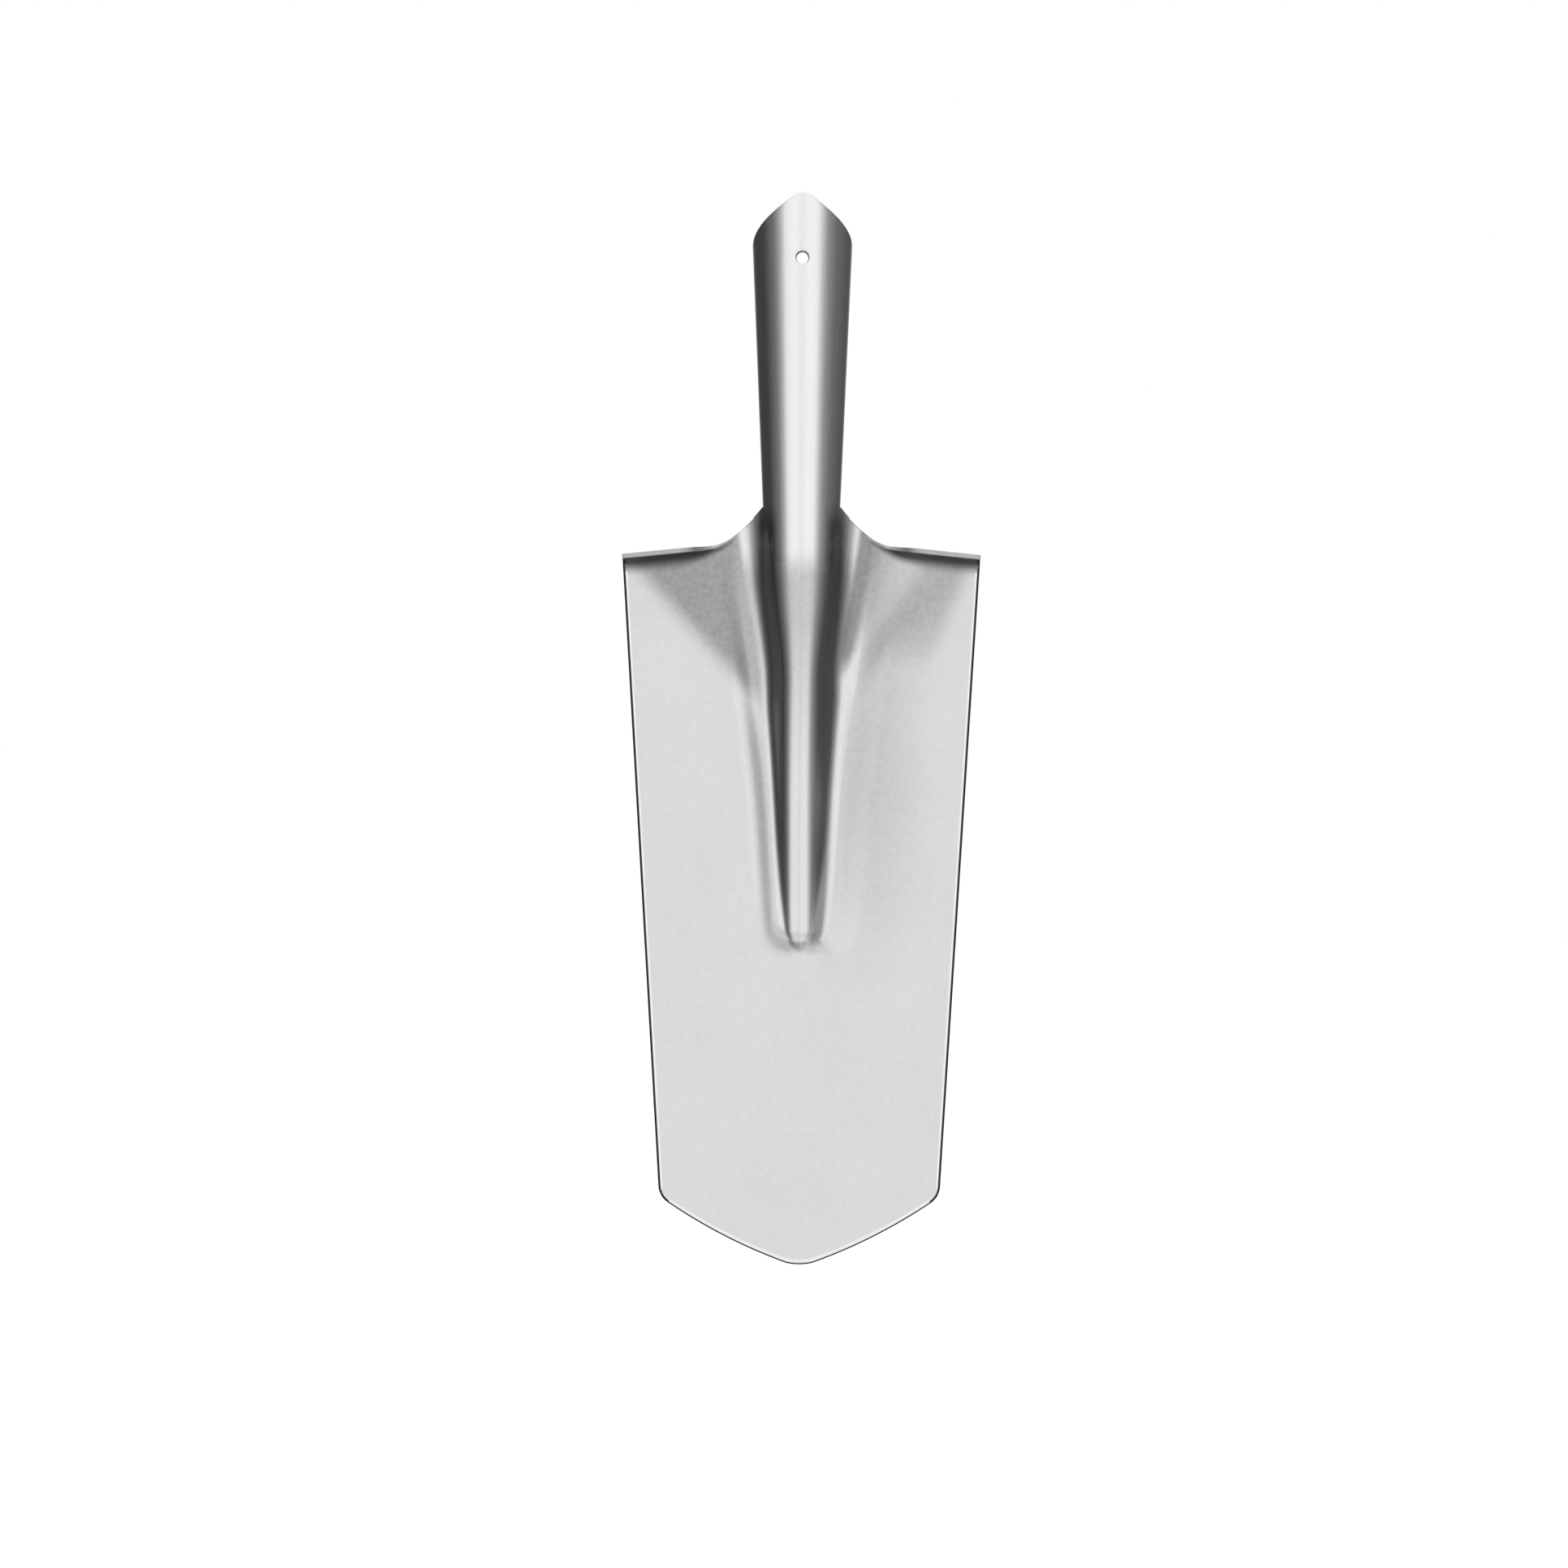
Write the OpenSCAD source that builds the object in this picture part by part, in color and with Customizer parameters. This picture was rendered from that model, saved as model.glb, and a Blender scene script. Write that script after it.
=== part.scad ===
// Head of a trenching spade: a pressed blade with a raised rib, welded to a rolled, tapered socket.
// Millimetres, +Z up along the socket's axis, the front of the blade faces -Y.
// The origin is the centre of the socket's mouth, where the handle goes in.

/* [Socket] */
// Outer diameter of the socket at the rim of its mouth
mouth_d = 45; // [42:0.5:48]
// Outer diameter of the socket level with the top of the wings
neck_d = 35; // [33:0.5:37]
// Length of the socket from the rim down to the top of the wings
socket_l = 118; // [100:1:140]
// Thickness of the rolled socket sheet
socket_t = 2.2; // [1.6:0.1:2.6]
// Height at which the tongue's straight edges would meet above the rim
tongue_h = 25.5; // [16:0.5:32]
// Radius that rounds the tip of the tongue
tongue_tip_r = 6.6; // [3:0.2:9]
// Diameter of the fixing hole through the socket
hole_d = 6; // [4:0.1:8]
// Depth of the fixing hole's centre below the rim
hole_drop = 5.5; // [4.5:0.1:12]
// Radius of the arch cut out of the back of the socket's lower end
arch_r = 24; // [20:0.5:28]

/* [Blade outline] */
// Width of the blade across the treads
blade_top_w = 162; // [150:1:180]
// Width of the blade across its lower corners, before they are rounded
blade_low_w = 126.6; // [110:1:145]
// Length of the blade from the treads' outer corners to the point
blade_l = 320.5; // [290:1:350]
// Height of the pointed lower edge, from the lower corners to the unrounded point
point_h = 31.9; // [22:0.5:42]
// How far each lower edge swells out from a straight line
edge_bow = 2.6; // [0.5:0.1:5]
// Radius of the rounded point
point_r = 26; // [14:1:34]
// Radius of the rounded lower corners
corner_r = 10; // [6:0.5:14]
// Thickness of the pressed blade sheet
blade_t = 2.2; // [1.6:0.1:2.6]

/* [Neck and treads] */
// Drop from the top of the wings to the treads' outer corners
tread_drop = 21.3; // [18:0.1:26]
// Slope of the treads, falling outwards, in degrees
tread_slope = 5.7; // [3:0.1:8]
// Half width at which the wings' curve runs into the treads
wing_foot = 40; // [37:0.5:46]
// Half width of the knee that bends the wings' curve
wing_knee = 31; // [29:0.5:34]
// Inner radius of the bend that turns each tread forward
tread_bend_r = 6; // [4.5:0.1:7]
// Length of the flat lip in front of that bend
tread_lip = 4; // [3:0.1:8]
// Half width at which the treads start to turn forward
tread_start = 28; // [26:0.5:30]
// Half width from which the treads are fully turned
tread_full = 60; // [50:0.5:66]

/* [Rib and pressing] */
// Angle between the blade and the socket's axis, in degrees
lift = 4.85; // [4:0.05:5.5]
// Distance of the blade's flat plane behind the socket's axis, at the top of the rib
set_back = 10.7; // [9.8:0.1:11.2]
// Drop from the top of the wings to the top of the rib, where the socket meets it
neck_l = 25; // [23:0.5:28]
// Length of the rib from there to the start of its rounded end
rib_l = 166; // [150:1:180]
// Length of the rib's rounded end
rib_end_l = 10; // [8:0.5:16]
// Radius of the rib's crest, which starts with the socket's radius
crest_low_r = 11.2; // [10:0.1:13]
// Length over which the crest gets that radius
crest_change_l = 45; // [30:1:60]
// How far the crest falls behind the line of the socket's front at the rib's lower end
crest_fall = 1.1; // [0.4:0.1:1.6]
// Least height of the crest above the ledge, however long the rib is
crest_least_h = 2; // [1.5:0.1:2.3]
// Steepest slope of the rib's flanks, in degrees
flank_slope = 64; // [60:0.5:68]
// Radius of the hollow between the rib and the blade at the top of the rib
fillet_top_r = 12; // [11:0.1:13]
// Radius of the same hollow where it is tightest
fillet_mid_r = 4.5; // [3.5:0.1:6]
// Radius of the same hollow at the rib's lower end
fillet_low_r = 8; // [6:0.1:9]
// How much that radius grows beside the socket, per mm above the top of the rib
fillet_growth = 0.2; // [0.1:0.01:0.25]
// How far the shoulders are drawn forward beside the neck
dish_depth = 8.5; // [7.5:0.1:9.5]
// Length over which that draw fades out beside the rib
dish_l = 68; // [60:1:76]
// Half width of the soft crease along the edge of the dished shoulders
dish_crease = 5; // [4:0.5:10]
// Height of the ledge beside the rib at the top of the rib
ledge_top_h = 0.6; // [0.2:0.1:1]
// Height of the same ledge where it is highest
ledge_mid_h = 3; // [2:0.1:3.4]
// Height of the same ledge round the rib's lower end
ledge_low_h = 1.9; // [1.2:0.1:2.2]
// Half width of the ledge at the top of the rib
ledge_top_w = 28.5; // [27:0.1:31]
// Half width of the ledge at the rib's lower end
ledge_low_w = 13.3; // [12.5:0.1:15]
// Width of the slope from the ledge down to the flat blade
ledge_slope_w = 9; // [7:0.5:10]
// Width of the same slope round the rib's lower end
ledge_end_slope_w = 6; // [5:0.5:8]

/* [Welds] */
// Height of the weld between the socket's lower edge and the top of the rib
neck_weld_h = 4; // [2.5:0.1:6]
// Angle that this weld covers on each side of the front, in degrees
neck_weld_turn = 100; // [92:1:110]
// Width of the seam between the socket's rolled edges
seam_gap = 1.2; // [0.6:0.1:2]
// Diameter of the round that the seam weld's cap is part of
seam_bead_d = 6; // [5:0.1:8]
// Height of that cap above the socket
seam_cap_h = 0.8; // [0.4:0.1:1.2]
// Distance from the rim to the start of the seam weld
seam_start = 14; // [11:0.5:24]
// Gap between a weld's faces and the curved sheet that it meets
weld_clearance = 0.1; // [0.05:0.01:0.2]

/* [Hidden] */
$fn = 96;
reach = mouth_d + tongue_h;   // past the part in a cut that goes right through
overlap = 0.5;                // that a cutter runs past a face

// Number of steps across the rib and the flat of each half, and along the rows
form_n = 15;
flat_n = 13;
bend_n = 7;
neck_n = 5;
rib_n = 15;
end_n = 6;
low_n = 6;
point_n = 5;
half_n = form_n + flat_n;
wing_col = 12;         // column along which each wing ends beside the socket
corner_n = 2;          // columns that round the lower half of a corner
neck_row = 5;          // depth of the rows below the treads' bend
flat_ease = 0.45;      // how much closer the columns stand beside the rib than at the sides
rib_ease = 1.5;        // power that brings the rows closer together at the top of the rib
corner_pull = 8;       // how closely the corner's rounding keeps to the outer columns
foot_turns = 12;       // turns of the fixed point that finds the foot of the rib
foot_pace = 0.5;       // share of the way to its next value that each turn goes
rib_mid = 0.6;         // share of the rib's length at which its middle sizes hold
end_narrow = 0.25;     // share of its width that the rib loses in its rounded end
ledge_end = 5.5;       // height above the rib's rounded end at which the ledge starts to close round it
ledge_round = 3;       // power of the curve along which it closes
incline_end = 0.25;    // share of a slope's width that each of its rounded ends takes

// Heights of the main stations
z_wing = -socket_l;
z_tread = z_wing - tread_drop;
z_rib = z_wing - neck_l;
z_end = z_rib - rib_l;
z_flat = z_end - rib_end_l;
z_ledge = z_end + ledge_end;
z_point = z_tread - blade_l;
taper = (mouth_d - neck_d) / 2 / socket_l;
z_socket_end = z_rib + neck_weld_h;

// General helpers
function mix(a, b, t) = a + (b - a) * t;
function smooth(t) = let (q = min(1, max(0, t))) q * q * (3 - 2 * q);
function soft_ramp(q, w) = q <= -w ? 0 : q >= w ? q : (q + w) * (q + w) / (4 * w);
function incline(t) =
    let (q = min(1, max(0, t)), round = 2 * incline_end * (1 - incline_end))
    q < incline_end ? q * q / round
        : q > 1 - incline_end ? 1 - (1 - q) * (1 - q) / round
        : (q - incline_end / 2) / (1 - incline_end);
function unit(v) = v / norm(v);
function length_of(r, turn) = r * turn * PI / 180;
function turn_over(r, length) = length / r * 180 / PI;
function bezier(a, b, c, t) = mix(mix(a, b, t), mix(b, c, t), t);

// Socket
function cone_r(z) = mouth_d / 2 + z * taper;

// The tongue's edges are straight on the flat sheet, so they are drawn on the unrolled rim
rim_r = mouth_d / 2;
tongue_angle = atan(tongue_h / (rim_r * PI / 2));
function tongue_edge(s) =
    abs(s) < tongue_tip_r * sin(tongue_angle)
        ? tongue_h - tongue_tip_r / cos(tongue_angle) + sqrt(tongue_tip_r * tongue_tip_r - s * s)
        : tongue_h - abs(s) * tan(tongue_angle);
tongue_step = 5;

module cone_solid(inset, low, high) {
    translate([0, 0, low])
        cylinder(h = high - low, r1 = cone_r(low) - inset, r2 = cone_r(high) - inset);
}

module above_tongue() {
    edge = [for (a = [-90:tongue_step:90]) [rim_r * sin(a), tongue_edge(rim_r * PI * a / 180)]];
    side = rim_r + reach;
    rotate([90, 0, 0])
        linear_extrude(reach)
            polygon(concat([[-side, reach], [-side, 0]], edge, [[side, 0], [side, reach]]));
}

module fixing_hole() {
    translate([0, 0, -hole_drop])
        rotate([90, 0, 0])
            cylinder(h = 2 * reach, d = hole_d, center = true);
}

module back_arch() {
    translate([-reach, neck_d / 2 - socket_t + arch_r / 2, z_socket_end])
        rotate([0, 90, 0])
            cylinder(h = 2 * reach, r = arch_r);
}

module seam_slot() {
    translate([-seam_gap / 2, 0, -reach - socket_l])
        cube([seam_gap, reach, reach + socket_l - seam_start]);
}

module socket() {
    color("silver")
        difference() {
            cone_solid(0, z_socket_end, tongue_h);
            cone_solid(socket_t, z_socket_end - overlap, tongue_h + overlap);
            above_tongue();
            translate([-reach, 0, 0])
                cube([2 * reach, reach, reach]);
            fixing_hole();
            back_arch();
            seam_slot();
        }
}

// Outline of the blade, seen from the front
half_w = blade_top_w / 2;
low_half_w = blade_low_w / 2;
bow_turn = atan(4 * edge_bow / norm([low_half_w, point_h]));
point_lift = point_r * (1 / cos(atan(point_h / low_half_w) - bow_turn) - 1);
z_sharp = z_point - point_lift;
low_corner = [low_half_w, z_sharp + point_h];
function side_x(z) = mix(low_half_w, half_w, (z - low_corner[1]) / (z_tread - low_corner[1]));

// Lower edge from the point (t = 0) to the unrounded corner (t = 1)
edge_out = unit([point_h, -low_half_w]);
function lower_edge(t) = mix([0, z_sharp], low_corner, t) + 4 * edge_bow * t * (1 - t) * edge_out;
function rounded_edge(t) =
    let (p = lower_edge(t))
    p[0] > point_r / 2 ? p
        : [p[0], max(p[1], z_point + point_r - sqrt(point_r * point_r - p[0] * p[0]))];

// The corner is rounded between a point on the side and a point on the lower edge
side_turn = atan((half_w - low_half_w) / (z_tread - low_corner[1]));
edge_turn = atan(point_h / low_half_w) + bow_turn;
corner_trim = corner_r * tan((90 - side_turn - edge_turn) / 2);
z_low = low_corner[1] + corner_trim;
corner_top = [side_x(z_low), z_low];
edge_end = 1 - corner_trim / norm([low_half_w, point_h]);
function corner(t) = bezier(corner_top, low_corner, lower_edge(edge_end), t);

// Where column h of the sheet's points ends on the lower edge
function foot(h) =
    h > half_n - corner_n
        ? corner(mix(1, 0.5, (h - half_n + corner_n) / corner_n))
        : rounded_edge(edge_end * h / (half_n - corner_n));

// Top edge: the wings' curve from the socket's side, then the treads' straight line
function tread_z(x) = z_tread + (half_w - x) * tan(tread_slope);
wing_root = neck_d / 2;
function wing_turn(x) =
    let (a = wing_root - 2 * wing_knee + wing_foot, b = 2 * (wing_knee - wing_root), c = wing_root - x)
    abs(a) < 0.001 ? -c / b : (sqrt(b * b - 4 * a * c) - b) / (2 * a);
function top_z(x) =
    x >= wing_foot ? tread_z(x)
        : bezier(z_wing, tread_z(wing_knee), tread_z(wing_foot), wing_turn(max(x, wing_root)));

// Along the top edge runs a strip that lies flat on the wings and turns forward on the treads
strip_bend = length_of(tread_bend_r, 90);
strip_l = strip_bend + tread_lip;
function flat_l(x) = strip_l * (1 - smooth((x - tread_start) / (tread_full - tread_start)));
function strip_turn(s, x) = turn_over(tread_bend_r, min(strip_bend, max(0, s - flat_l(x))));

// Rise and forward reach at a distance s along the strip, at half width x
function strip(s, x) =
    let (turn = strip_turn(s, x))
    [min(s, flat_l(x)) + tread_bend_r * sin(turn),
        tread_bend_r * (1 - cos(turn)) + max(0, s - flat_l(x) - strip_bend)];

// Pressed surface: forward distance of the sheet's front from the socket's axis
function plane(z) = -set_back - (z - z_rib) * tan(lift);
function dish(x, z) =
    let (length = dish_l * (half_w - x) / (half_w - wing_root))
    dish_depth / dish_l * soft_ramp(length - (z_tread - z), dish_crease);

// Sizes that change along the rib, through their values at its top, in its middle and at its end
function along_rib(z) = min(1, max(0, (z_rib - z) / rib_l));
function rib_size(z, top, mid, low) =
    let (t = along_rib(z) - rib_mid)
    t < 0 ? mid + (top - mid) * pow(t / rib_mid, 2)
        : mid + (low - mid) * pow(t / (1 - rib_mid), 2);
function crest_line(z) = cone_r(z) - crest_fall * max(0, z_rib - z) / rib_l;
function crest(z) = max(crest_line(z), forward(0, z) + crest_least_h);
function crest_r(z) = mix(cone_r(max(z, z_rib)), crest_low_r, smooth((z_rib - z) / crest_change_l));
function fillet_r(z) =
    rib_size(z, fillet_top_r, fillet_mid_r, fillet_low_r) + fillet_growth * max(0, z - z_rib);

// The ledge runs along both sides of the rib and closes round its lower end
function on_ledge(x, z) =
    let (below = max(0, z_ledge - z))
    let (away = pow(pow(abs(x), ledge_round) + pow(below, ledge_round), 1 / ledge_round))
    let (half = mix(ledge_top_w, ledge_low_w, along_rib(z)))
    incline((half - away) / rib_size(z, ledge_slope_w, ledge_slope_w, ledge_end_slope_w) + 0.5);
function ledge(x, z) = rib_size(z, ledge_top_h, ledge_mid_h, ledge_low_h) * on_ledge(x, z);
function forward(x, z) = plane(z) + dish(x, z) + ledge(x, z);

// Where the hollow beside the rib runs out onto the blade, found by a few turns of a fixed point
slope_step = 0.5;
function base_tilt(x, z) =
    atan((forward(x + slope_step, z) - forward(x - slope_step, z)) / (2 * slope_step));
function flank_at(z, height) = min(flank_slope, acos(min(1, height / (crest_r(z) + fillet_r(z)))));
function rib_foot(z, x, turns) =
    let (r = fillet_r(z), g = base_tilt(x, z), far = crest_r(z) + r)
    let (height = forward(x, z) + r * cos(g) - crest(z) + crest_r(z), lean = flank_at(z, height))
    let (next = (far - height * cos(lean)) / sin(lean) + r * sin(g))
    turns == 0 ? x : rib_foot(z, mix(x, next, foot_pace), turns - 1);

// The rib's half section at one height: crest radius and centre, hollow radius and centre,
// slope of the flank, where the flank starts, its length, tilt of the blade at the foot, and the foot
function rib_form(z) =
    let (round_r = crest_r(z), r = fillet_r(z), middle = crest(z) - round_r)
    let (x = rib_foot(z, round_r + r, foot_turns), g = base_tilt(x, z))
    let (hub = [x - r * sin(g), forward(x, z) + r * cos(g)], lean = flank_at(z, hub[1] - middle))
    let (start = [0, middle] + round_r * [sin(lean), cos(lean)])
    let (flank = norm(hub - r * [sin(lean), cos(lean)] - start))
    [round_r, middle, r, hub, lean, start, flank, g, x];
function form_foot(form) = form[8];
function crest_l(form) = length_of(form[0], form[4]);
function form_l(form) = crest_l(form) + form[6] + length_of(form[2], form[4] + form[7]);
function on_hollow(form, turn) = form[3] - form[2] * [sin(turn), cos(turn)];
function hollow_turn(form, s) = form[4] - turn_over(form[2], s - crest_l(form) - form[6]);

// Point of that section at a distance s from the crest's middle: on the crest, the flank or the hollow
function form_point(form, s) =
    let (turn = turn_over(form[0], s), top_l = crest_l(form))
    s <= top_l ? [form[0] * sin(turn), form[1] + form[0] * cos(turn)]
        : s < top_l + form[6] ? mix(form[5], on_hollow(form, form[4]), (s - top_l) / form[6])
        : on_hollow(form, hollow_turn(form, s));

// Section across the blade at one height: point h of the half profile, as half width and forward
function section_point(h, z) =
    let (form = rib_form(z), k = (h - form_n) / flat_n)
    let (far = mix(form_foot(form), side_x(z), k * mix(1, k, flat_ease)))
    h <= form_n ? form_point(form, form_l(form) * h / form_n) : [far, forward(far, z)];

// The rib's rounded end: the section narrows and sinks into the blade
function end_point(h, z) =
    let (t = (z_end - z) / rib_end_l, p = section_point(h, z))
    let (x0 = form_foot(rib_form(z)))
    let (narrow = 1 - end_narrow * t * t, height = cos(90 * t) * cos(90 * t))
    let (x = p[0] <= x0 ? p[0] * narrow
        : side_x(z) - (side_x(z) - p[0]) * (side_x(z) - x0 * narrow) / (side_x(z) - x0))
    let (base = forward(x, z))
    [x, p[0] < x0 ? base + (p[1] - forward(x0, z)) * height : base];

// Below the rib the columns spread evenly over the flat
spread_l = 60;
function low_point(h, z) =
    let (from = end_point(h, z_flat)[0] / side_x(z_flat))
    let (x = side_x(z) * mix(from, h / half_n, smooth((z_flat - z) / spread_l)))
    [x, forward(x, z)];

// Rows of the sheet, from the treads' lips down to the point
row_bend = bend_n;
row_neck = row_bend + neck_n;
row_rib = row_neck + rib_n;
row_end = row_rib + end_n;
row_low = row_end + low_n;
row_last = row_low + point_n;

// Columns from the wings outwards start with the strip, and the rib's columns at its top
function first_row(h) = h >= wing_col ? 0 : row_neck;
function column_x(h) = section_point(h, top_z(section_point(h, z_tread)[0]))[0];
function start_z(h) =
    let (x = column_x(h))
    top_z(x) - strip(strip_l, x)[0] - blade_t * sin(strip_turn(strip_l, x));
neck_low = z_tread - tread_bend_r - blade_t - neck_row;
wing_edge = column_x(wing_col);
function neck_z(h) = mix(z_rib, neck_low, smooth((column_x(h) - wing_edge) / (wing_foot - wing_edge)));

function on_sheet(p, z) = [p[0], -p[1], z];
function strip_point(h, row) =
    let (go = strip(strip_l * (row_bend - row) / row_bend, column_x(h)), z = start_z(h) + go[0])
    on_sheet(section_point(h, z) + [0, go[1]], z);

function point_row(h, t) =
    let (from = low_point(h, z_low), to = foot(h), edge = corner(t / 2))
    let (straight = mix(corner_top, corner(0.5), t), share = pow(h / half_n, corner_pull))
    let (p = mix([from[0], z_low], to, t) + share * (edge - straight))
    on_sheet([p[0], forward(p[0], p[1])], p[1]);

function sheet_point(h, row) =
    let (neck = mix(start_z(h), neck_z(h), (row - row_bend) / neck_n))
    let (rib = mix(neck_z(h), z_end, pow((row - row_neck) / rib_n, rib_ease)))
    let (end = mix(z_end, z_flat, (row - row_rib) / end_n))
    let (low = mix(z_flat, z_low, pow((row - row_end) / low_n, 2)))
    row < row_bend ? strip_point(h, row)
        : row <= row_neck ? on_sheet(section_point(h, neck), neck)
        : row <= row_rib ? on_sheet(section_point(h, rib), rib)
        : row <= row_end ? on_sheet(end_point(h, end), end)
        : row <= row_low ? on_sheet(low_point(h, low), low)
        : point_row(h, (row - row_low) / point_n);

function half_column(h) = [for (row = [0:row_last]) sheet_point(h, max(row, first_row(h)))];

module blade() {
    starts = [for (h = [0:half_n]) first_row(h)];
    right = [for (h = [0:half_n]) half_column(h)];
    columns = [for (i = [-half_n:half_n]) [for (p = right[abs(i)]) [i < 0 ? -p[0] : p[0], p[1], p[2]]]];
    top = [for (i = [-half_n:half_n]) starts[abs(i)]];
    color("lightgray")
        sheet(columns, top, blade_t);
}

// Closed sheet of even thickness behind a grid of front points, where column i starts at row top[i]
module sheet(front, top, t) {
    across = len(front);
    rows = len(front[0]);
    function at(i, r) = front[i][r];
    function has(i, r) = i >= 0 && i < across && r < rows && r >= top[i];
    function normal(i, r) =
        let (left = has(i - 1, r) ? i - 1 : i, right = has(i + 1, r) ? i + 1 : i)
        let (above = has(i, r - 1) ? r - 1 : r, below = has(i, r + 1) ? r + 1 : r)
        unit(cross(at(right, r) - at(left, r), at(i, above) - at(i, below)));
    function cell(i, r) =
        i >= 0 && i < across - 1 && r >= 0 && r < rows - 1 && r >= top[i] && r >= top[i + 1];
    function id(i, r) = i * rows + r;
    back = across * rows;
    points = concat(
        [for (i = [0:across - 1]) for (r = [0:rows - 1]) at(i, r)],
        [for (i = [0:across - 1]) for (r = [0:rows - 1])
            at(i, r) - (has(i, r) ? t * normal(i, r) : [0, 0, 0])]);
    faces = [for (i = [0:across - 2]) for (r = [0:rows - 2]) if (cell(i, r))
        let (a = id(i, r), b = id(i + 1, r), c = id(i + 1, r + 1), d = id(i, r + 1))
        each concat(
            quad(a, b, c, d),
            quad(a + back, d + back, c + back, b + back),
            cell(i, r - 1) ? [] : quad(a, a + back, b + back, b),
            cell(i, r + 1) ? [] : quad(d, c, c + back, d + back),
            cell(i - 1, r) ? [] : quad(a + back, a, d, d + back),
            cell(i + 1, r) ? [] : quad(b, b + back, c + back, c))];
    polyhedron(points, faces);
}

function quad(a, b, c, d) = [[a, b, c], [a, c, d]];

module neck_weld() {
    low = z_rib + weld_clearance;
    section = [for (p = [[0, low], [0, z_socket_end], [socket_t, z_socket_end], [socket_t, low]])
        [cone_r(p[1]) - p[0], p[1]]];
    color("darkgray")
        rotate([0, 0, -90 - neck_weld_turn])
            rotate_extrude(angle = 2 * neck_weld_turn)
                polygon(section);
}

// Section of a wing weld: the hollow's curve carried on to the socket's side, then back along it.
// It goes from the top of the wing (t = 0), where it rises to the socket, to the top of the rib (t = 1).
weld_n = 5;
weld_tip = 0.68;   // share of the way from the wing to the socket at which the weld's surface ends
seat_last = 2 * weld_n + 1;
wing_top = top_z(wing_edge);
function weld_ring(t) =
    let (z = mix(wing_top, z_rib + weld_clearance, t), form = rib_form(z))
    let (from = form_l(form) * wing_col / form_n - weld_clearance, to = mix(from, crest_l(form), weld_tip))
    let (curve = [for (k = [0:weld_n]) form_point(form, mix(from, to, k / weld_n))])
    let (lean = hollow_turn(form, from), root = curve[0] - blade_t * [sin(lean), cos(lean)])
    let (first = atan2(curve[weld_n][0], curve[weld_n][1]), last = atan2(root[0], root[1]))
    let (around = [for (k = [0:weld_n]) mix(first, last, k / weld_n)])
    let (seat = [for (a = around) (cone_r(z) + weld_clearance) * [sin(a), cos(a)]])
    [for (p = concat(curve, seat, [root])) up_taper(p, z, (1 - t) * (top_z(p[0]) - wing_top))];
function up_taper(p, z, rise) = on_sheet(p + (cone_r(z + rise) - cone_r(z)) * unit(p), z + rise);

// The closed end of a wing weld, from ring point number base on
function weld_end(base) =
    let (far = base + seat_last)
    let (strips = [for (k = [0:weld_n - 1]) quad(base + k, base + k + 1, far - k - 1, far - k)])
    concat([for (faces = strips) each faces], [[base, far, far + 1]]);
function flipped(faces) = [for (f = faces) [for (i = [len(f) - 1:-1:0]) f[i]]];

module wing_weld(side) {
    steps = neck_n;
    rings = [for (k = [0:steps]) weld_ring(k / steps)];
    count = len(rings[0]);
    points = [for (ring = rings) each [for (p = ring) [side * p[0], p[1], p[2]]]];
    walls = [for (k = [0:steps - 1]) for (i = [0:count - 1])
        let (j = (i + 1) % count, a = k * count, b = a + count)
        each quad(a + i, a + j, b + j, b + i)];
    faces = concat(walls, flipped(weld_end(0)), weld_end(steps * count));
    color("darkgray")
        polyhedron(points, side > 0 ? faces : flipped(faces));
}

module wing_weld_left() {
    wing_weld(-1);
}

module wing_weld_right() {
    wing_weld(1);
}

// Section of the seam weld: its root fills the slot, its cap stands on the socket's curve
module seam_section() {
    curve_r = cone_r(-socket_l / 2);
    translate([-seam_gap / 2, -socket_t])
        square([seam_gap, socket_t + seam_cap_h / 2]);
    difference() {
        translate([0, seam_cap_h - seam_bead_d / 2])
            circle(d = seam_bead_d);
        translate([0, -curve_r])
            circle(r = curve_r);
    }
}

module seam_weld() {
    lean = atan(taper);
    color("darkgray")
        difference() {
            translate([0, cone_r(z_socket_end), z_socket_end])
                rotate([-lean, 0, 0])
                    linear_extrude(-seam_start - z_socket_end - weld_clearance)
                        seam_section();
            back_arch();
        }
}

blade();
socket();
neck_weld();
wing_weld_left();
wing_weld_right();
seam_weld();
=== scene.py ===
"""Looks of a trenching spade head: a pressed blade and a rolled socket, welded together, in plain studio light.

Shaping is done in millimetres, as on the part's drawing, and each mesh is scaled to metres at the end.
The front of the blade faces -Y, +Z runs up the socket's axis, and the origin is the centre of its mouth.
"""

import collections
import functools
import math

import bmesh
import bpy
from mathutils import Matrix, Vector


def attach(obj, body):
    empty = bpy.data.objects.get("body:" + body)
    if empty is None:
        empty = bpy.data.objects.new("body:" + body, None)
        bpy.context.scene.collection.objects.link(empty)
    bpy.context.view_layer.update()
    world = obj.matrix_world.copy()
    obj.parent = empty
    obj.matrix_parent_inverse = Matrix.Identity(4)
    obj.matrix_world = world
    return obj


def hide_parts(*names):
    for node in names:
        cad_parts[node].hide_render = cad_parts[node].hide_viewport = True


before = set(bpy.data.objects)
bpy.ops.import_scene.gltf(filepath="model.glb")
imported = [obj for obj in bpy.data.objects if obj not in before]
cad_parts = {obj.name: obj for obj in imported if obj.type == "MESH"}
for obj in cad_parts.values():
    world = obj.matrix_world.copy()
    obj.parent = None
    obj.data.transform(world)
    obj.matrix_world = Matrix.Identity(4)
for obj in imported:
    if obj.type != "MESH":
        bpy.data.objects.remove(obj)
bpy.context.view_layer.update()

MM = 0.001

# Both sheets are this thick
SHEET = 2.2

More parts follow.
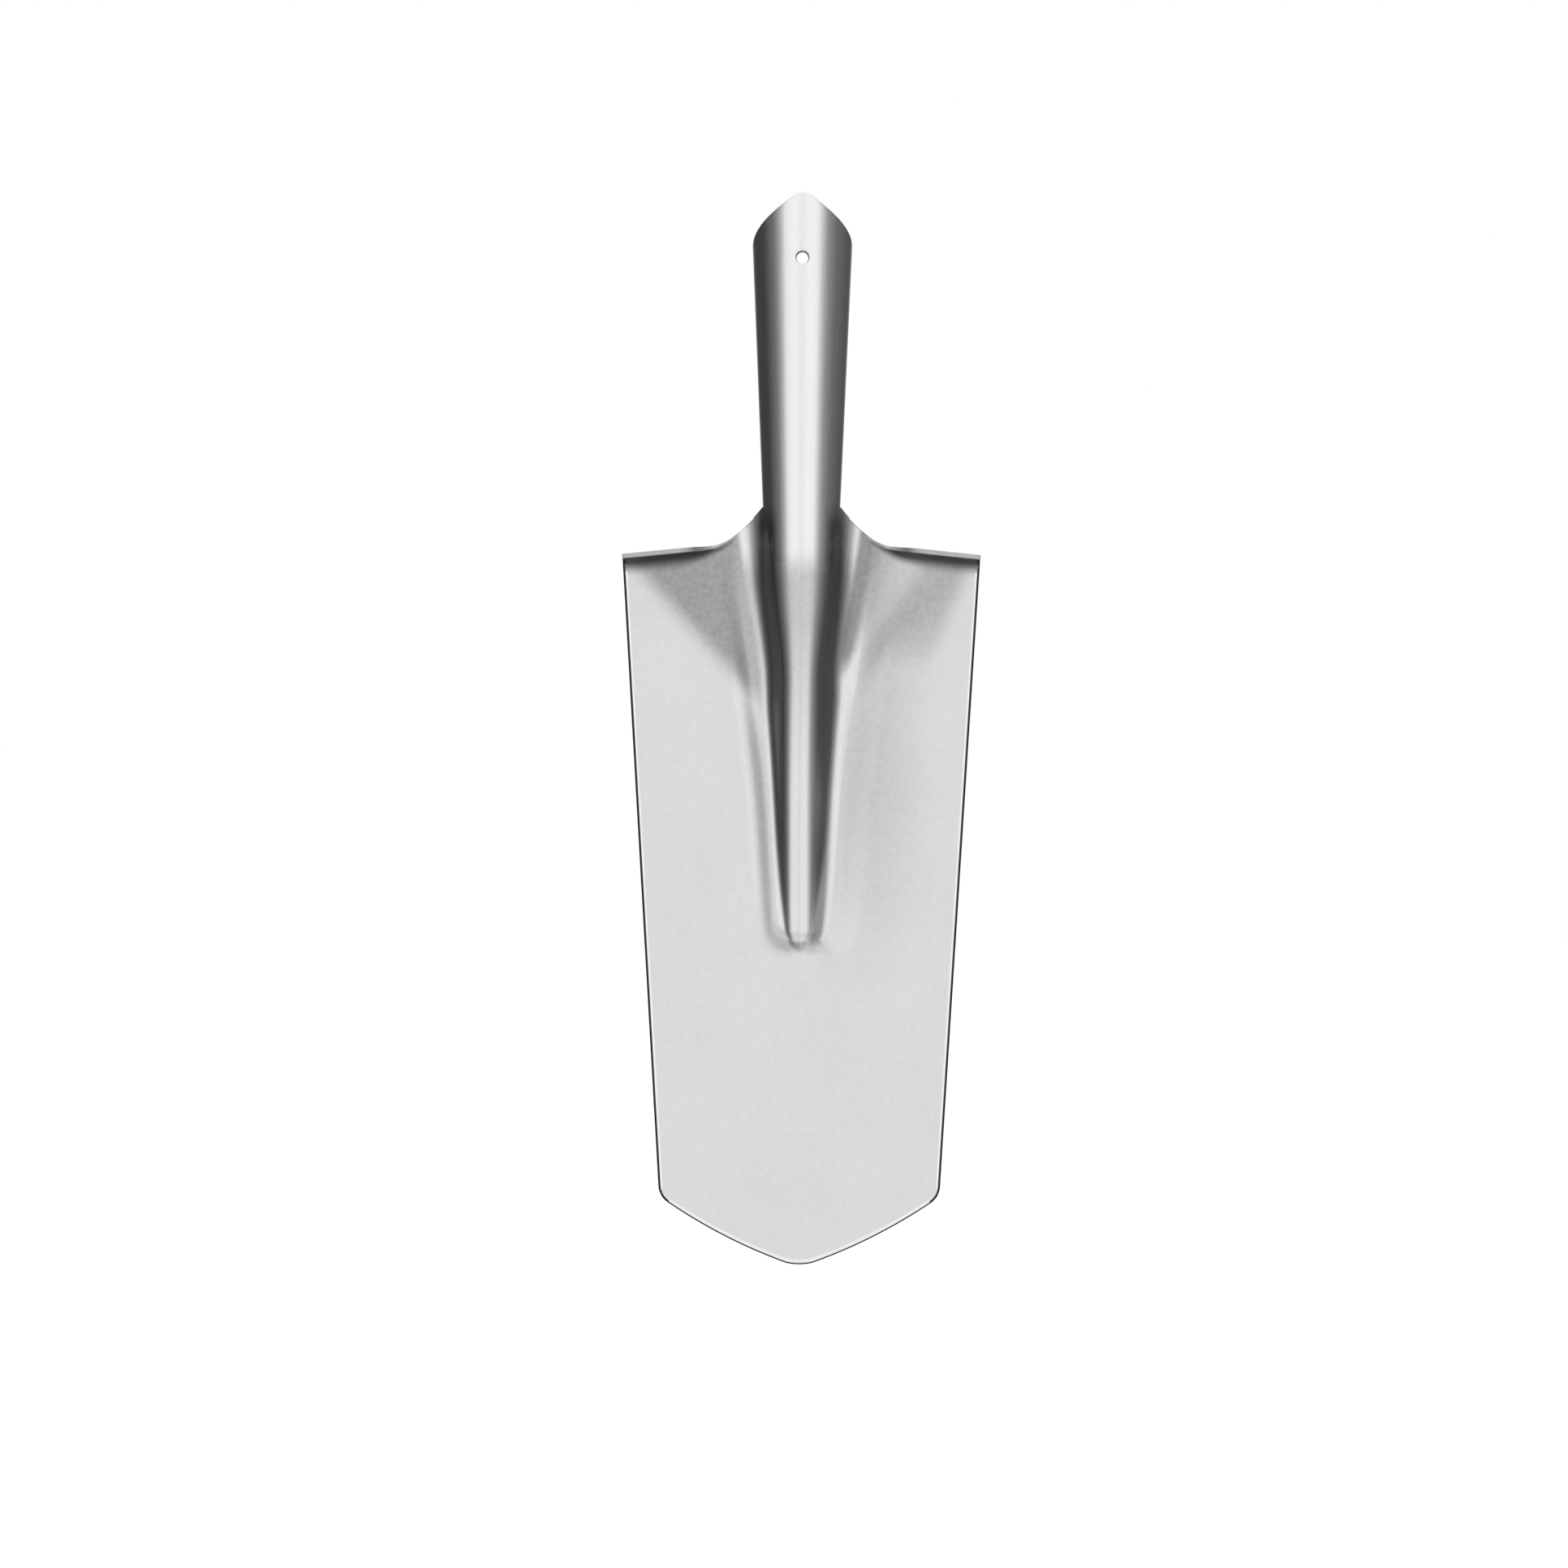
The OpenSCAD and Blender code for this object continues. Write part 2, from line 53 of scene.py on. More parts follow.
# Socket: a tapered tube with a pointed tongue above its rim
MOUTH_R = 22.5
TAPER = 5.0 / 118.0  # radius lost per length
TONGUE_H = 25.4
TONGUE_TIP_R = 6.6
HOLE_R = 3.0
HOLE_Z = -5.5
SEAM_Z = -14.0  # top of the slot that the seam weld closes
SEAM_GAP = 1.2
SOCKET_END_Z = -139.0
ARCH_R = 24.0  # arch in the back of its lower end, and where its centre lies
ARCH_Y = 27.3

# Blade: heights of its stations
WING_Z = -118.0  # top of the wings, beside the socket
TREAD_Z = -139.3  # outer end of the treads
RIB_Z = -143.0  # top of the rib, below the neck weld
RIB_END_Z = -309.0  # where the rib starts to sink
RIB_FLAT_Z = -320.0  # where it has sunk into the blade
POINT_Z = -459.8

# Its outline: half widths at the treads and at the lower corners, and the lower edge
TOP_HALF = 81.0
LOW_HALF = 63.3
POINT_H = 31.9
EDGE_BOW = 2.6
POINT_R = 26.0
CORNER_R = 10.0

# Its top edge: half widths where the wing leaves the socket, bends and meets the tread, and the turned tread
WING_ROOT = 17.5
WING_KNEE = 31.0
WING_FOOT = 40.0
TREAD_SLOPE = math.tan(math.radians(5.7))
TREAD_BEND_R = 6.0
TREAD_LIP = 4.0
TREAD_START = 28.0
TREAD_FULL = 60.0
UNDER_TREAD_Z = TREAD_Z - TREAD_BEND_R - SHEET

# Its lean, and how far its flat lies behind the socket's axis at the top of the rib
LIFT = math.tan(math.radians(4.85))
SET_BACK = 10.7

# Rib: its crest, which gets sharper over CREST_L, its flanks and its hollow fillets
CREST_R = 10.6
CREST_L = 56.0
CREST_FALL = 1.1
FLANK_LEAN = math.radians(64.0)
FILLET_TOP = 12.0
FILLET_MID = 4.5
FILLET_LOW = 8.0
FILLET_GROW = 0.2
RIB_MID = 0.6  # share of the rib's length at which the middle sizes hold
END_NARROW = 0.25
END_BLUNT = 1.6

# Dished shoulders
DISH_DEPTH = 8.5
DISH_L = 68.0
DISH_CREASE = 5.0

# Ledge beside the rib: its height, half width and slope
LEDGE_TOP_H = 0.6
LEDGE_MID_H = 3.0
LEDGE_LOW_H = 2.2
LEDGE_TOP = 30.0
LEDGE_MID = 14.8
LEDGE_LOW = 11.2
LEDGE_EASE = 0.15
LEDGE_SLOPE = 10.4
LEDGE_END_SLOPE = 8.0
LEDGE_END_Z = -302.2
LEDGE_ROUND = 3.0  # power of the curve round its end: 2 is a circle, more is blunter

# Unevenness of the pressing: wider slope and foot on the right, and a crest a little to the left
RIGHT_SLOPE = 6.0
PRESS_SHIFT = 3.3
CREST_SHIFT = 0.6

# Rims: rounding at the sides and elsewhere, and the width of the edge strip that carries a painted highlight
SIDE_ROUND = 1.05
RIM_ROUND = 0.35
SIDE_TOP_Z = TREAD_Z - 3.0  # the sides' rounding ends here, below the treads
EDGE_STRIP_W = 1.9
STRIP_REACH = EDGE_STRIP_W * 0.75  # faces with their middle this near to a side are on the strip
EDGE_SLANT = 1.12  # upright width of a strip on the slanting lower edge, for each millimetre across it

# Steps of the blade's grid: across the rib and the flat of each half, and rows from the turned strip to the point
FORM, FLAT = 30, 34
HALF = FORM + FLAT + 1
WING_COL = 24  # the wing's inner column; nearer columns start below the neck weld
BEND, NECK, RIB, END, LOW, POINT = 16, 10, 60, 16, 26, 12
ROW_BEND = BEND
ROW_NECK = ROW_BEND + NECK
ROW_RIB = ROW_NECK + RIB
ROW_END = ROW_RIB + END
ROW_LOW = ROW_END + LOW
ROW_LAST = ROW_LOW + POINT
CORNER_COLS = 4
NECK_ROOM = 5.0  # room below the treads for the neck's rows
FLAT_SPREAD = 0.45  # how much wider the columns get outwards
LOW_SPREAD_L = 60.0  # length over which they spread evenly below the rib
LOW_CROWD = 1.6  # power that crowds the rows just below the rib
CORNER_BULGE = 8  # power that keeps the corner's bulge to the outermost columns


def mix(a, b, t):
    return a + (b - a) * t


def smooth(t):
    t = min(1.0, max(0.0, t))
    return t * t * (3.0 - 2.0 * t)


def fade(start, end, t):
    """0 up to start, 1 from end on, and smooth between. Where end is the smaller, it rises downwards."""
    return smooth((t - start) / (end - start))


def incline(t):
    """A straight rise from 0 to 1 with a softly rounded foot and a crisp top."""
    t, foot, top = max(0.0, min(1.0, t)), 0.5, 0.15
    steep = 1.0 / (1.0 - (foot + top) / 2.0)
    if t < foot:
        return steep * t * t / (2.0 * foot)
    if t > 1.0 - top:
        return 1.0 - steep * (1.0 - t) ** 2 / (2.0 * top)
    return steep * (t - foot / 2.0)


def soft_ramp(q, w):
    """0 below -w, q above w, and a parabola between them."""
    if q <= -w:
        return 0.0
    return q if q >= w else (q + w) ** 2 / (4.0 * w)


def cone_r(z):
    return MOUTH_R + z * TAPER


# Outline of the blade, seen from the front

def line_length():
    return math.hypot(LOW_HALF, POINT_H)


BOW_TURN = math.atan(4.0 * EDGE_BOW / line_length())
SHARP_Z = POINT_Z - POINT_R * (1.0 / math.cos(math.atan(POINT_H / LOW_HALF) - BOW_TURN) - 1.0)
CORNER = Vector((LOW_HALF, SHARP_Z + POINT_H))
SIDE_TURN = math.atan((TOP_HALF - LOW_HALF) / (TREAD_Z - CORNER.y))
EDGE_TURN = math.atan(POINT_H / LOW_HALF) + BOW_TURN
CORNER_TRIM = CORNER_R * math.tan((math.pi / 2.0 - SIDE_TURN - EDGE_TURN) / 2.0)
LOW_Z = CORNER.y + CORNER_TRIM
EDGE_END = 1.0 - CORNER_TRIM / line_length()


def side_x(z):
    return mix(LOW_HALF, TOP_HALF, (z - CORNER.y) / (TREAD_Z - CORNER.y))


def lower_edge(t):
    """Lower edge from the point, t = 0, to the unrounded corner, t = 1."""
    out = Vector((POINT_H, -LOW_HALF)).normalized()
    return Vector((0.0, SHARP_Z)).lerp(CORNER, t) + 4.0 * EDGE_BOW * t * (1.0 - t) * out


def rounded_edge(t):
    p = lower_edge(t)
    if p.x <= POINT_R / 2.0:
        p.y = max(p.y, POINT_Z + POINT_R - math.sqrt(POINT_R ** 2 - p.x ** 2))
    return p


def corner(t):
    top = Vector((side_x(LOW_Z), LOW_Z))
    return top.lerp(CORNER, t).lerp(CORNER.lerp(lower_edge(EDGE_END), t), t)


def foot(col):
    """Where a column of the blade's points ends on the lower edge."""
    if col > HALF - CORNER_COLS:
        return corner(mix(1.0, 0.5, (col - HALF + CORNER_COLS) / CORNER_COLS))
    return rounded_edge(EDGE_END * col / (HALF - CORNER_COLS))


def tread_z(x):
    return TREAD_Z + (TOP_HALF - x) * TREAD_SLOPE


def top_z(x):
    """Top edge: the wing's curve down from the socket, then the tread's straight line."""
    if x >= WING_FOOT:
        return tread_z(x)
    a = WING_ROOT - 2.0 * WING_KNEE + WING_FOOT
    b = 2.0 * (WING_KNEE - WING_ROOT)
    c = WING_ROOT - max(x, WING_ROOT)
    t = (math.sqrt(b * b - 4.0 * a * c) - b) / (2.0 * a)
    knee = tread_z(WING_KNEE)
    return mix(mix(WING_Z, knee, t), mix(knee, tread_z(WING_FOOT), t), t)


# Pressed surface of the blade: forward distance of its front from the socket's axis

def along_rib(z):
    """0 at the top of the rib and above it, 1 at its end and below."""
    return min(1.0, max(0.0, (RIB_Z - z) / (RIB_Z - RIB_END_Z)))


def rib_size(z, top, mid, low):
    """A size that changes smoothly along the rib, through its values at the top, in the middle and at the end."""
    t = along_rib(z) - RIB_MID
    if t < 0.0:
        return mid + (top - mid) * (t / RIB_MID) ** 2
    return mid + (low - mid) * (t / (1.0 - RIB_MID)) ** 2


def fillet_r(z):
    return rib_size(z, FILLET_TOP, FILLET_MID, FILLET_LOW) + FILLET_GROW * max(0.0, z - RIB_Z)


def crest(z):
    """Forward distance of the rib's crest, which carries on the socket's cone and falls a little."""
    return cone_r(z) - CREST_FALL * max(0.0, RIB_Z - z) / (RIB_Z - RIB_END_Z)


def crest_r(z):
    """Radius of the crest, which is the socket's at the neck and soon gets sharper."""
    return mix(cone_r(max(z, RIB_Z)), CREST_R, fade(RIB_Z, RIB_Z - CREST_L, z))


def inside_dish(x, z):
    """Height above the dish's lower boundary, which runs slantwise from the tread's end to the rib."""
    return DISH_L * (TOP_HALF - x) / (TOP_HALF - WING_ROOT) - (TREAD_Z - z)


def dish(x, z):
    return DISH_DEPTH / DISH_L * soft_ramp(inside_dish(x, z), DISH_CREASE)


def ledge_half(z):
    """Half width of the ledge, which narrows fast beside the upper rib and slowly beside its end."""
    fast, slow = (LEDGE_MID - LEDGE_TOP) / RIB_MID, (LEDGE_LOW - LEDGE_MID) / (1.0 - RIB_MID)
    return LEDGE_TOP + fast * along_rib(z) + (slow - fast) * soft_ramp(along_rib(z) - RIB_MID, LEDGE_EASE)


def past_ledge(x, z):
    """Distance past the inner edge of the ledge's slope, beside the rib and round its blunt end."""
    away = (abs(x) ** LEDGE_ROUND + max(0.0, LEDGE_END_Z - z) ** LEDGE_ROUND) ** (1.0 / LEDGE_ROUND)
    return away - ledge_half(z)


def on_ledge(x, z, wider=0.0):
    """1 on the ledge, 0 on the flat past its slope."""
    slope = rib_size(z, LEDGE_SLOPE, LEDGE_SLOPE, LEDGE_END_SLOPE) + wider
    return incline(1.0 - past_ledge(x, z) / slope)


def ledge(x, z, wider=0.0):
    return rib_size(z, LEDGE_TOP_H, LEDGE_MID_H, LEDGE_LOW_H) * on_ledge(x, z, wider)


def forward(x, z):
    """Forward distance of the flat with its dish and ledge, without the rib."""
    return -SET_BACK - (z - RIB_Z) * LIFT + dish(x, z) + ledge(x, z)


def base_tilt(x, z):
    """Tilt of that surface across the blade, over one millimetre."""
    return math.atan(forward(x + 0.5, z) - forward(x - 0.5, z))


# The rib's half section: radii of its crest and its fillet, centre of the crest, lean of the flank, tilt of the blade
# at its foot, centre of the fillet, top and length of the flank, and half width at the foot
RibForm = collections.namedtuple("RibForm", "crest_r fillet_r centre lean tilt hub top flank foot_x")
# Lengths along it from the middle: to the end of the crest, to the end of the flank, and in all
FormLengths = collections.namedtuple("FormLengths", "crest flank whole")


@functools.lru_cache(maxsize=None)
def rib_form(z):
    """The rib's half section at one height: a round crest, a straight flank if it is steep, and a hollow fillet."""
    rho, r, centre = crest_r(z), fillet_r(z), crest(z) - crest_r(z)
    x = rho + r
    for _ in range(12):
        tilt = base_tilt(x, z)
        height = forward(x, z) + r * math.cos(tilt) - centre
        lean = min(FLANK_LEAN, math.acos(min(1.0, height / (rho + r))))
        x = (x + (rho + r - height * math.cos(lean)) / math.sin(lean) + r * math.sin(tilt)) / 2.0
    tilt = base_tilt(x, z)
    hub = Vector((x - r * math.sin(tilt), forward(x, z) + r * math.cos(tilt)))
    lean = min(FLANK_LEAN, math.acos(min(1.0, (hub.y - centre) / (rho + r))))
    top = Vector((rho * math.sin(lean), centre + rho * math.cos(lean)))
    flank = (hub - r * Vector((math.sin(lean), math.cos(lean))) - top).length
    return RibForm(rho, r, centre, lean, tilt, hub, top, flank, x)


def on_fillet(z, turn):
    form = rib_form(z)
    return form.hub - form.fillet_r * Vector((math.sin(turn), math.cos(turn)))


def form_l(z):
    form = rib_form(z)
    crest_end = form.crest_r * form.lean
    flank_end = crest_end + form.flank
    return FormLengths(crest_end, flank_end, flank_end + form.fillet_r * (form.lean + form.tilt))


def form_turn(z, s):
    """Lean of the rib's section at distance s from the middle of its crest."""
    form = rib_form(z)
    return min(s / form.crest_r, form.lean, form.lean - (s - form_l(z).flank) / form.fillet_r)


def form_point(z, s):
    """Point of the rib's section at distance s from the middle of its crest: on the crest, the flank or the hollow."""
    form, lengths = rib_form(z), form_l(z)
    if s <= lengths.crest:
        turn = s / form.crest_r
        return Vector((form.crest_r * math.sin(turn), form.centre + form.crest_r * math.cos(turn)))
    if s < lengths.flank:
        return form.top.lerp(on_fillet(z, form.lean), (s - lengths.crest) / form.flank)
    return on_fillet(z, form_turn(z, s))


def section_point(col, z):
    """Half width and forward distance of one column at one height."""
    if col <= FORM:
        return form_point(z, form_l(z).whole * col / FORM)
    if col == HALF:
        far = side_x(z)
    else:
        k = (col - FORM) / FLAT
        far = mix(rib_form(z).foot_x, side_x(z) - EDGE_STRIP_W, k * mix(1.0, k, FLAT_SPREAD))
    return Vector((far, forward(far, z)))


def end_point(col, z):
    """The rib's rounded end, where the section narrows and sinks into the blade."""
    t = (RIB_END_Z - z) / (RIB_END_Z - RIB_FLAT_Z)
    p, foot_x, side = section_point(col, z), rib_form(z).foot_x, side_x(z)
    narrow, fall = 1.0 - END_NARROW * t * t, min(1.0, t * (1.0 + END_BLUNT * (p.x / foot_x) ** 2))
    height = math.cos(math.pi / 2.0 * fall) ** 2
    if p.x <= foot_x:
        x = p.x * narrow
        return Vector((x, forward(x, z) + (p.y - forward(foot_x, z)) * height))
    x = side - (side - p.x) * (side - foot_x * narrow) / (side - foot_x)
    return Vector((x, forward(x, z)))


def low_share(col):
    return (col / (HALF - 1)) * (1.0 - EDGE_STRIP_W / LOW_HALF) if col < HALF else 1.0


def low_point(col, z):
    """Below the rib the columns spread evenly over the flat."""
    start = end_point(col, RIB_FLAT_Z).x / side_x(RIB_FLAT_Z)
    x = side_x(z) * mix(start, low_share(col), fade(RIB_FLAT_Z, RIB_FLAT_Z - LOW_SPREAD_L, z))
    return Vector((x, forward(x, z)))


def point_part(col, step):
    """The last rows run down to the lower edge, and the very last is the strip along it with the painted edge
    highlight.
    """
    start, end = Vector((low_point(col, LOW_Z).x, LOW_Z)), foot(col)
    ground = min(0.5, EDGE_SLANT * EDGE_STRIP_W / (LOW_Z - end.y))
    t = 1.0 if step == POINT else (1.0 - ground) * step / (POINT - 1)
    bulge = corner(t / 2.0) - corner(0.0).lerp(corner(0.5), t)
    p = start.lerp(end, t) + bulge * (col / HALF) ** CORNER_BULGE
    return Vector((p.x, -forward(p.x, p.y), p.y))


# Along the top edge runs a strip that lies flat on the wings and turns forward on the treads
BEND_L = TREAD_BEND_R * math.pi / 2.0
STRIP_L = BEND_L + TREAD_LIP


def strip(s, x):
    """Rise, forward reach and turn at distance s along the strip, of which a part turns that grows outwards."""
    flat = STRIP_L * fade(TREAD_FULL, TREAD_START, x)
    turned = max(0.0, s - flat)
    turn = min(turned, BEND_L) / TREAD_BEND_R
    rise = min(s, flat) + TREAD_BEND_R * math.sin(turn)
    return rise, TREAD_BEND_R * (1.0 - math.cos(turn)) + max(0.0, turned - BEND_L), turn


@functools.lru_cache(maxsize=None)
def column_x(col):
    return section_point(col, top_z(section_point(col, TREAD_Z).x)).x


def start_z(col):
    rise, reach, turn = strip(STRIP_L, column_x(col))
    return top_z(column_x(col)) - rise - SHEET * math.sin(turn)


def neck_z(col):
    low, inner = UNDER_TREAD_Z - NECK_ROOM, column_x(WING_COL)
    return mix(RIB_Z, low, fade(inner, WING_FOOT, column_x(col)))


def on_blade(p, z):
    return Vector((p.x, -p.y, z))


def blade_point(col, row):
    if row < ROW_BEND:
        rise, reach, turn = strip(STRIP_L * (ROW_BEND - row) / ROW_BEND, column_x(col))
        z = start_z(col) + rise
        return on_blade(section_point(col, z) + Vector((0.0, reach)), z)
    if row <= ROW_NECK:
        z = mix(start_z(col), neck_z(col), (row - ROW_BEND) / NECK)
        return on_blade(section_point(col, z), z)
    if row <= ROW_RIB:
        z = mix(neck_z(col), RIB_END_Z, (row - ROW_NECK) / RIB)
        return on_blade(section_point(col, z), z)
    if row <= ROW_END:
        z = mix(RIB_END_Z, RIB_FLAT_Z, (row - ROW_RIB) / END)
        return on_blade(end_point(col, z), z)
    if row <= ROW_LOW:
        z = mix(RIB_FLAT_Z, LOW_Z, ((row - ROW_END) / LOW) ** LOW_CROWD)
        return on_blade(low_point(col, z), z)
    return point_part(col, row - ROW_LOW)


# Mesh helpers: directions, the turn between faces from which an edge stays sharp, and how near points merge
FRONT, BACK = Vector((0.0, -1.0, 0.0)), Vector((0.0, 1.0, 0.0))
SHARP_TURN = math.radians(50.0)
MERGE, WELD_MERGE = 0.01, 0.005
RIM_STEPS = 3


def sheet_grid(across, along, place):
    """A grid of faces whose point at column i and row j lies at place(i, j), or is left out where that is None."""
    bm = bmesh.new()
    bmesh.ops.create_grid(bm, x_segments=across, y_segments=along, size=1.0)
    gone = []
    for v in bm.verts:
        p = place(round((v.co.x + 1.0) / 2.0 * across), round((1.0 - v.co.y) / 2.0 * along))
        if p is None:
            gone.append(v)
        else:
            v.co = p
    bmesh.ops.delete(bm, geom=gone, context="VERTS")
    return bm


def face_out(bm, outwards):
    """Turns a sheet's faces round if they point away from the direction that outwards gives at a place."""
    bm.normal_update()
    if sum(f.normal.dot(outwards(f.calc_center_median())) for f in bm.faces) < 0.0:
        bmesh.ops.reverse_faces(bm, faces=bm.faces[:])


def sharp_edges(bm):
    bm.normal_update()
    return [e for e in bm.edges if e.is_manifold and e.calc_face_angle() > SHARP_TURN]


def keep_sharp_edges(bm):
    for e in sharp_edges(bm):
        e.smooth = False


def middle(edge):
    return (edge.verts[0].co + edge.verts[1].co) / 2.0


def thicken(bm, t, rounds, welded):
    """Gives a sheet its thickness and rounds its rims by each radius in turn, apart from the welded edges."""
    bm.normal_update()
    bmesh.ops.solidify(bm, geom=bm.faces[:], thickness=t)
    for radius, here in rounds:
        rims = [e for e in sharp_edges(bm) if here(middle(e)) and not welded(middle(e))]
        bmesh.ops.bevel(bm, geom=rims, offset=radius, offset_type="OFFSET", affect="EDGES",
                        segments=RIM_STEPS, profile=0.5, material=-1, clamp_overlap=False)
    keep_sharp_edges(bm)


def piece(name, bm, material):
    """Turns a mesh in millimetres into an object in metres that rides on the part's one body."""
    bmesh.ops.scale(bm, vec=(MM, MM, MM), verts=bm.verts)
    mesh = bpy.data.meshes.new(name)
    for f in bm.faces:
        f.smooth = True
    bm.to_mesh(mesh)
    bm.free()
    mesh.materials.append(material)
    obj = bpy.data.objects.new(name, mesh)
    bpy.context.scene.collection.objects.link(obj)
    even = obj.modifiers.new("even_normals", "WEIGHTED_NORMAL")
    even.keep_sharp = True
    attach(obj, "root")
    return obj


# Material helpers

def linear(code):
    """An sRGB hex value as a linear colour."""
    parts = [int(code[i:i + 2], 16) / 255.0 for i in (1, 3, 5)]
    return [c / 12.92 if c <= 0.04045 else ((c + 0.055) / 1.055) ** 2.4 for c in parts] + [1.0]


def add(tree, kind, settings=None, **links):
    """Adds a node. Settings are its own values, and each link is an input's name with a value or an output."""
    node = tree.nodes.new(kind)
    for key, value in (settings or {}).items():
        setattr(node, key, value)
    for key, value in links.items():
        name = key.replace("_", " ")
        socket = node.inputs[int(name[1:])] if name[1:].isdigit() else node.inputs[name]
        if isinstance(value, bpy.types.NodeSocket):
            tree.links.new(value, socket)
        else:
            socket.default_value = value
    return node


# Settings of a mix of colours and of a mix of values
OF_COLOURS, OF_VALUES = {"data_type": "RGBA"}, {"data_type": "FLOAT"}


def new_material(name):
    material = bpy.data.materials.new(name)
    material.use_nodes = True
    material.node_tree.nodes.clear()
    return material, material.node_tree


# Sizes of the steel's patterns in millimetres. Blast grain and brush lines are really about a tenth of a millimetre
# wide, too fine to show, so both are drawn as coarse as the picture needs.
BLAST_GRAIN = 0.7143
BLAST_SPECK = 2.381
BLAST_CLOUD = 35.71
BRUSH_LINE_W, BRUSH_LINE_L = 1.111, 71.43
BRUSH_CLOUD = 16.67
WELD_FACET = 1.923

# Depth of the relief in each finish
GRAIN_DEPTH = 0.08
LINE_DEPTH = 0.06
FACET_DEPTH = 0.1

# The brushed finish ends across the neck, between these heights, in a line that is ragged by up to so much
BRUSH_LOW_Z, BRUSH_HIGH_Z = -145.0, -129.0
BRUSH_RAGGED = 14.0

# Painted shade: a flat dark grey laid on steep flanks, in the treads' creases and on the rim, where shade falls
PAINTED_SHADE_GREY = "#565656"
BRIGHT_NECK = "#f5f5f5"
# Painted highlight: a near white laid along the blade's sides and lower edge
PAINTED_EDGE_HIGHLIGHT = "#fafafa"


def per_metre(size):
    """A noise's scale from the size of its pattern in millimetres."""
    return 1.0 / (size * MM)


def neck_fade(tree, place):
    """1 on the bright brushed socket, 0 on the matte sheet below it, with a ragged change; and the brush lines."""
    across, along = per_metre(BRUSH_LINE_W), per_metre(BRUSH_LINE_L)
    drawn_out = add(tree, "ShaderNodeMapping", Vector=place, Scale=(across, across, along))
    lines = add(tree, "ShaderNodeTexNoise", Vector=drawn_out.outputs[0], Scale=1.0, Detail=3.0, Roughness=0.6)
    height = add(tree, "ShaderNodeSeparateXYZ", Vector=place).outputs["Z"]
    ragged = add(tree, "ShaderNodeMath", {"operation": "MULTIPLY_ADD"},
                 _0=lines.outputs["Fac"], _1=BRUSH_RAGGED * MM, _2=height)
    bright = add(tree, "ShaderNodeMapRange", {"interpolation_type": "SMOOTHSTEP"}, Value=ragged.outputs[0],
                 From_Min=BRUSH_LOW_Z * MM, From_Max=BRUSH_HIGH_Z * MM)
    return bright.outputs[0], lines.outputs["Fac"]


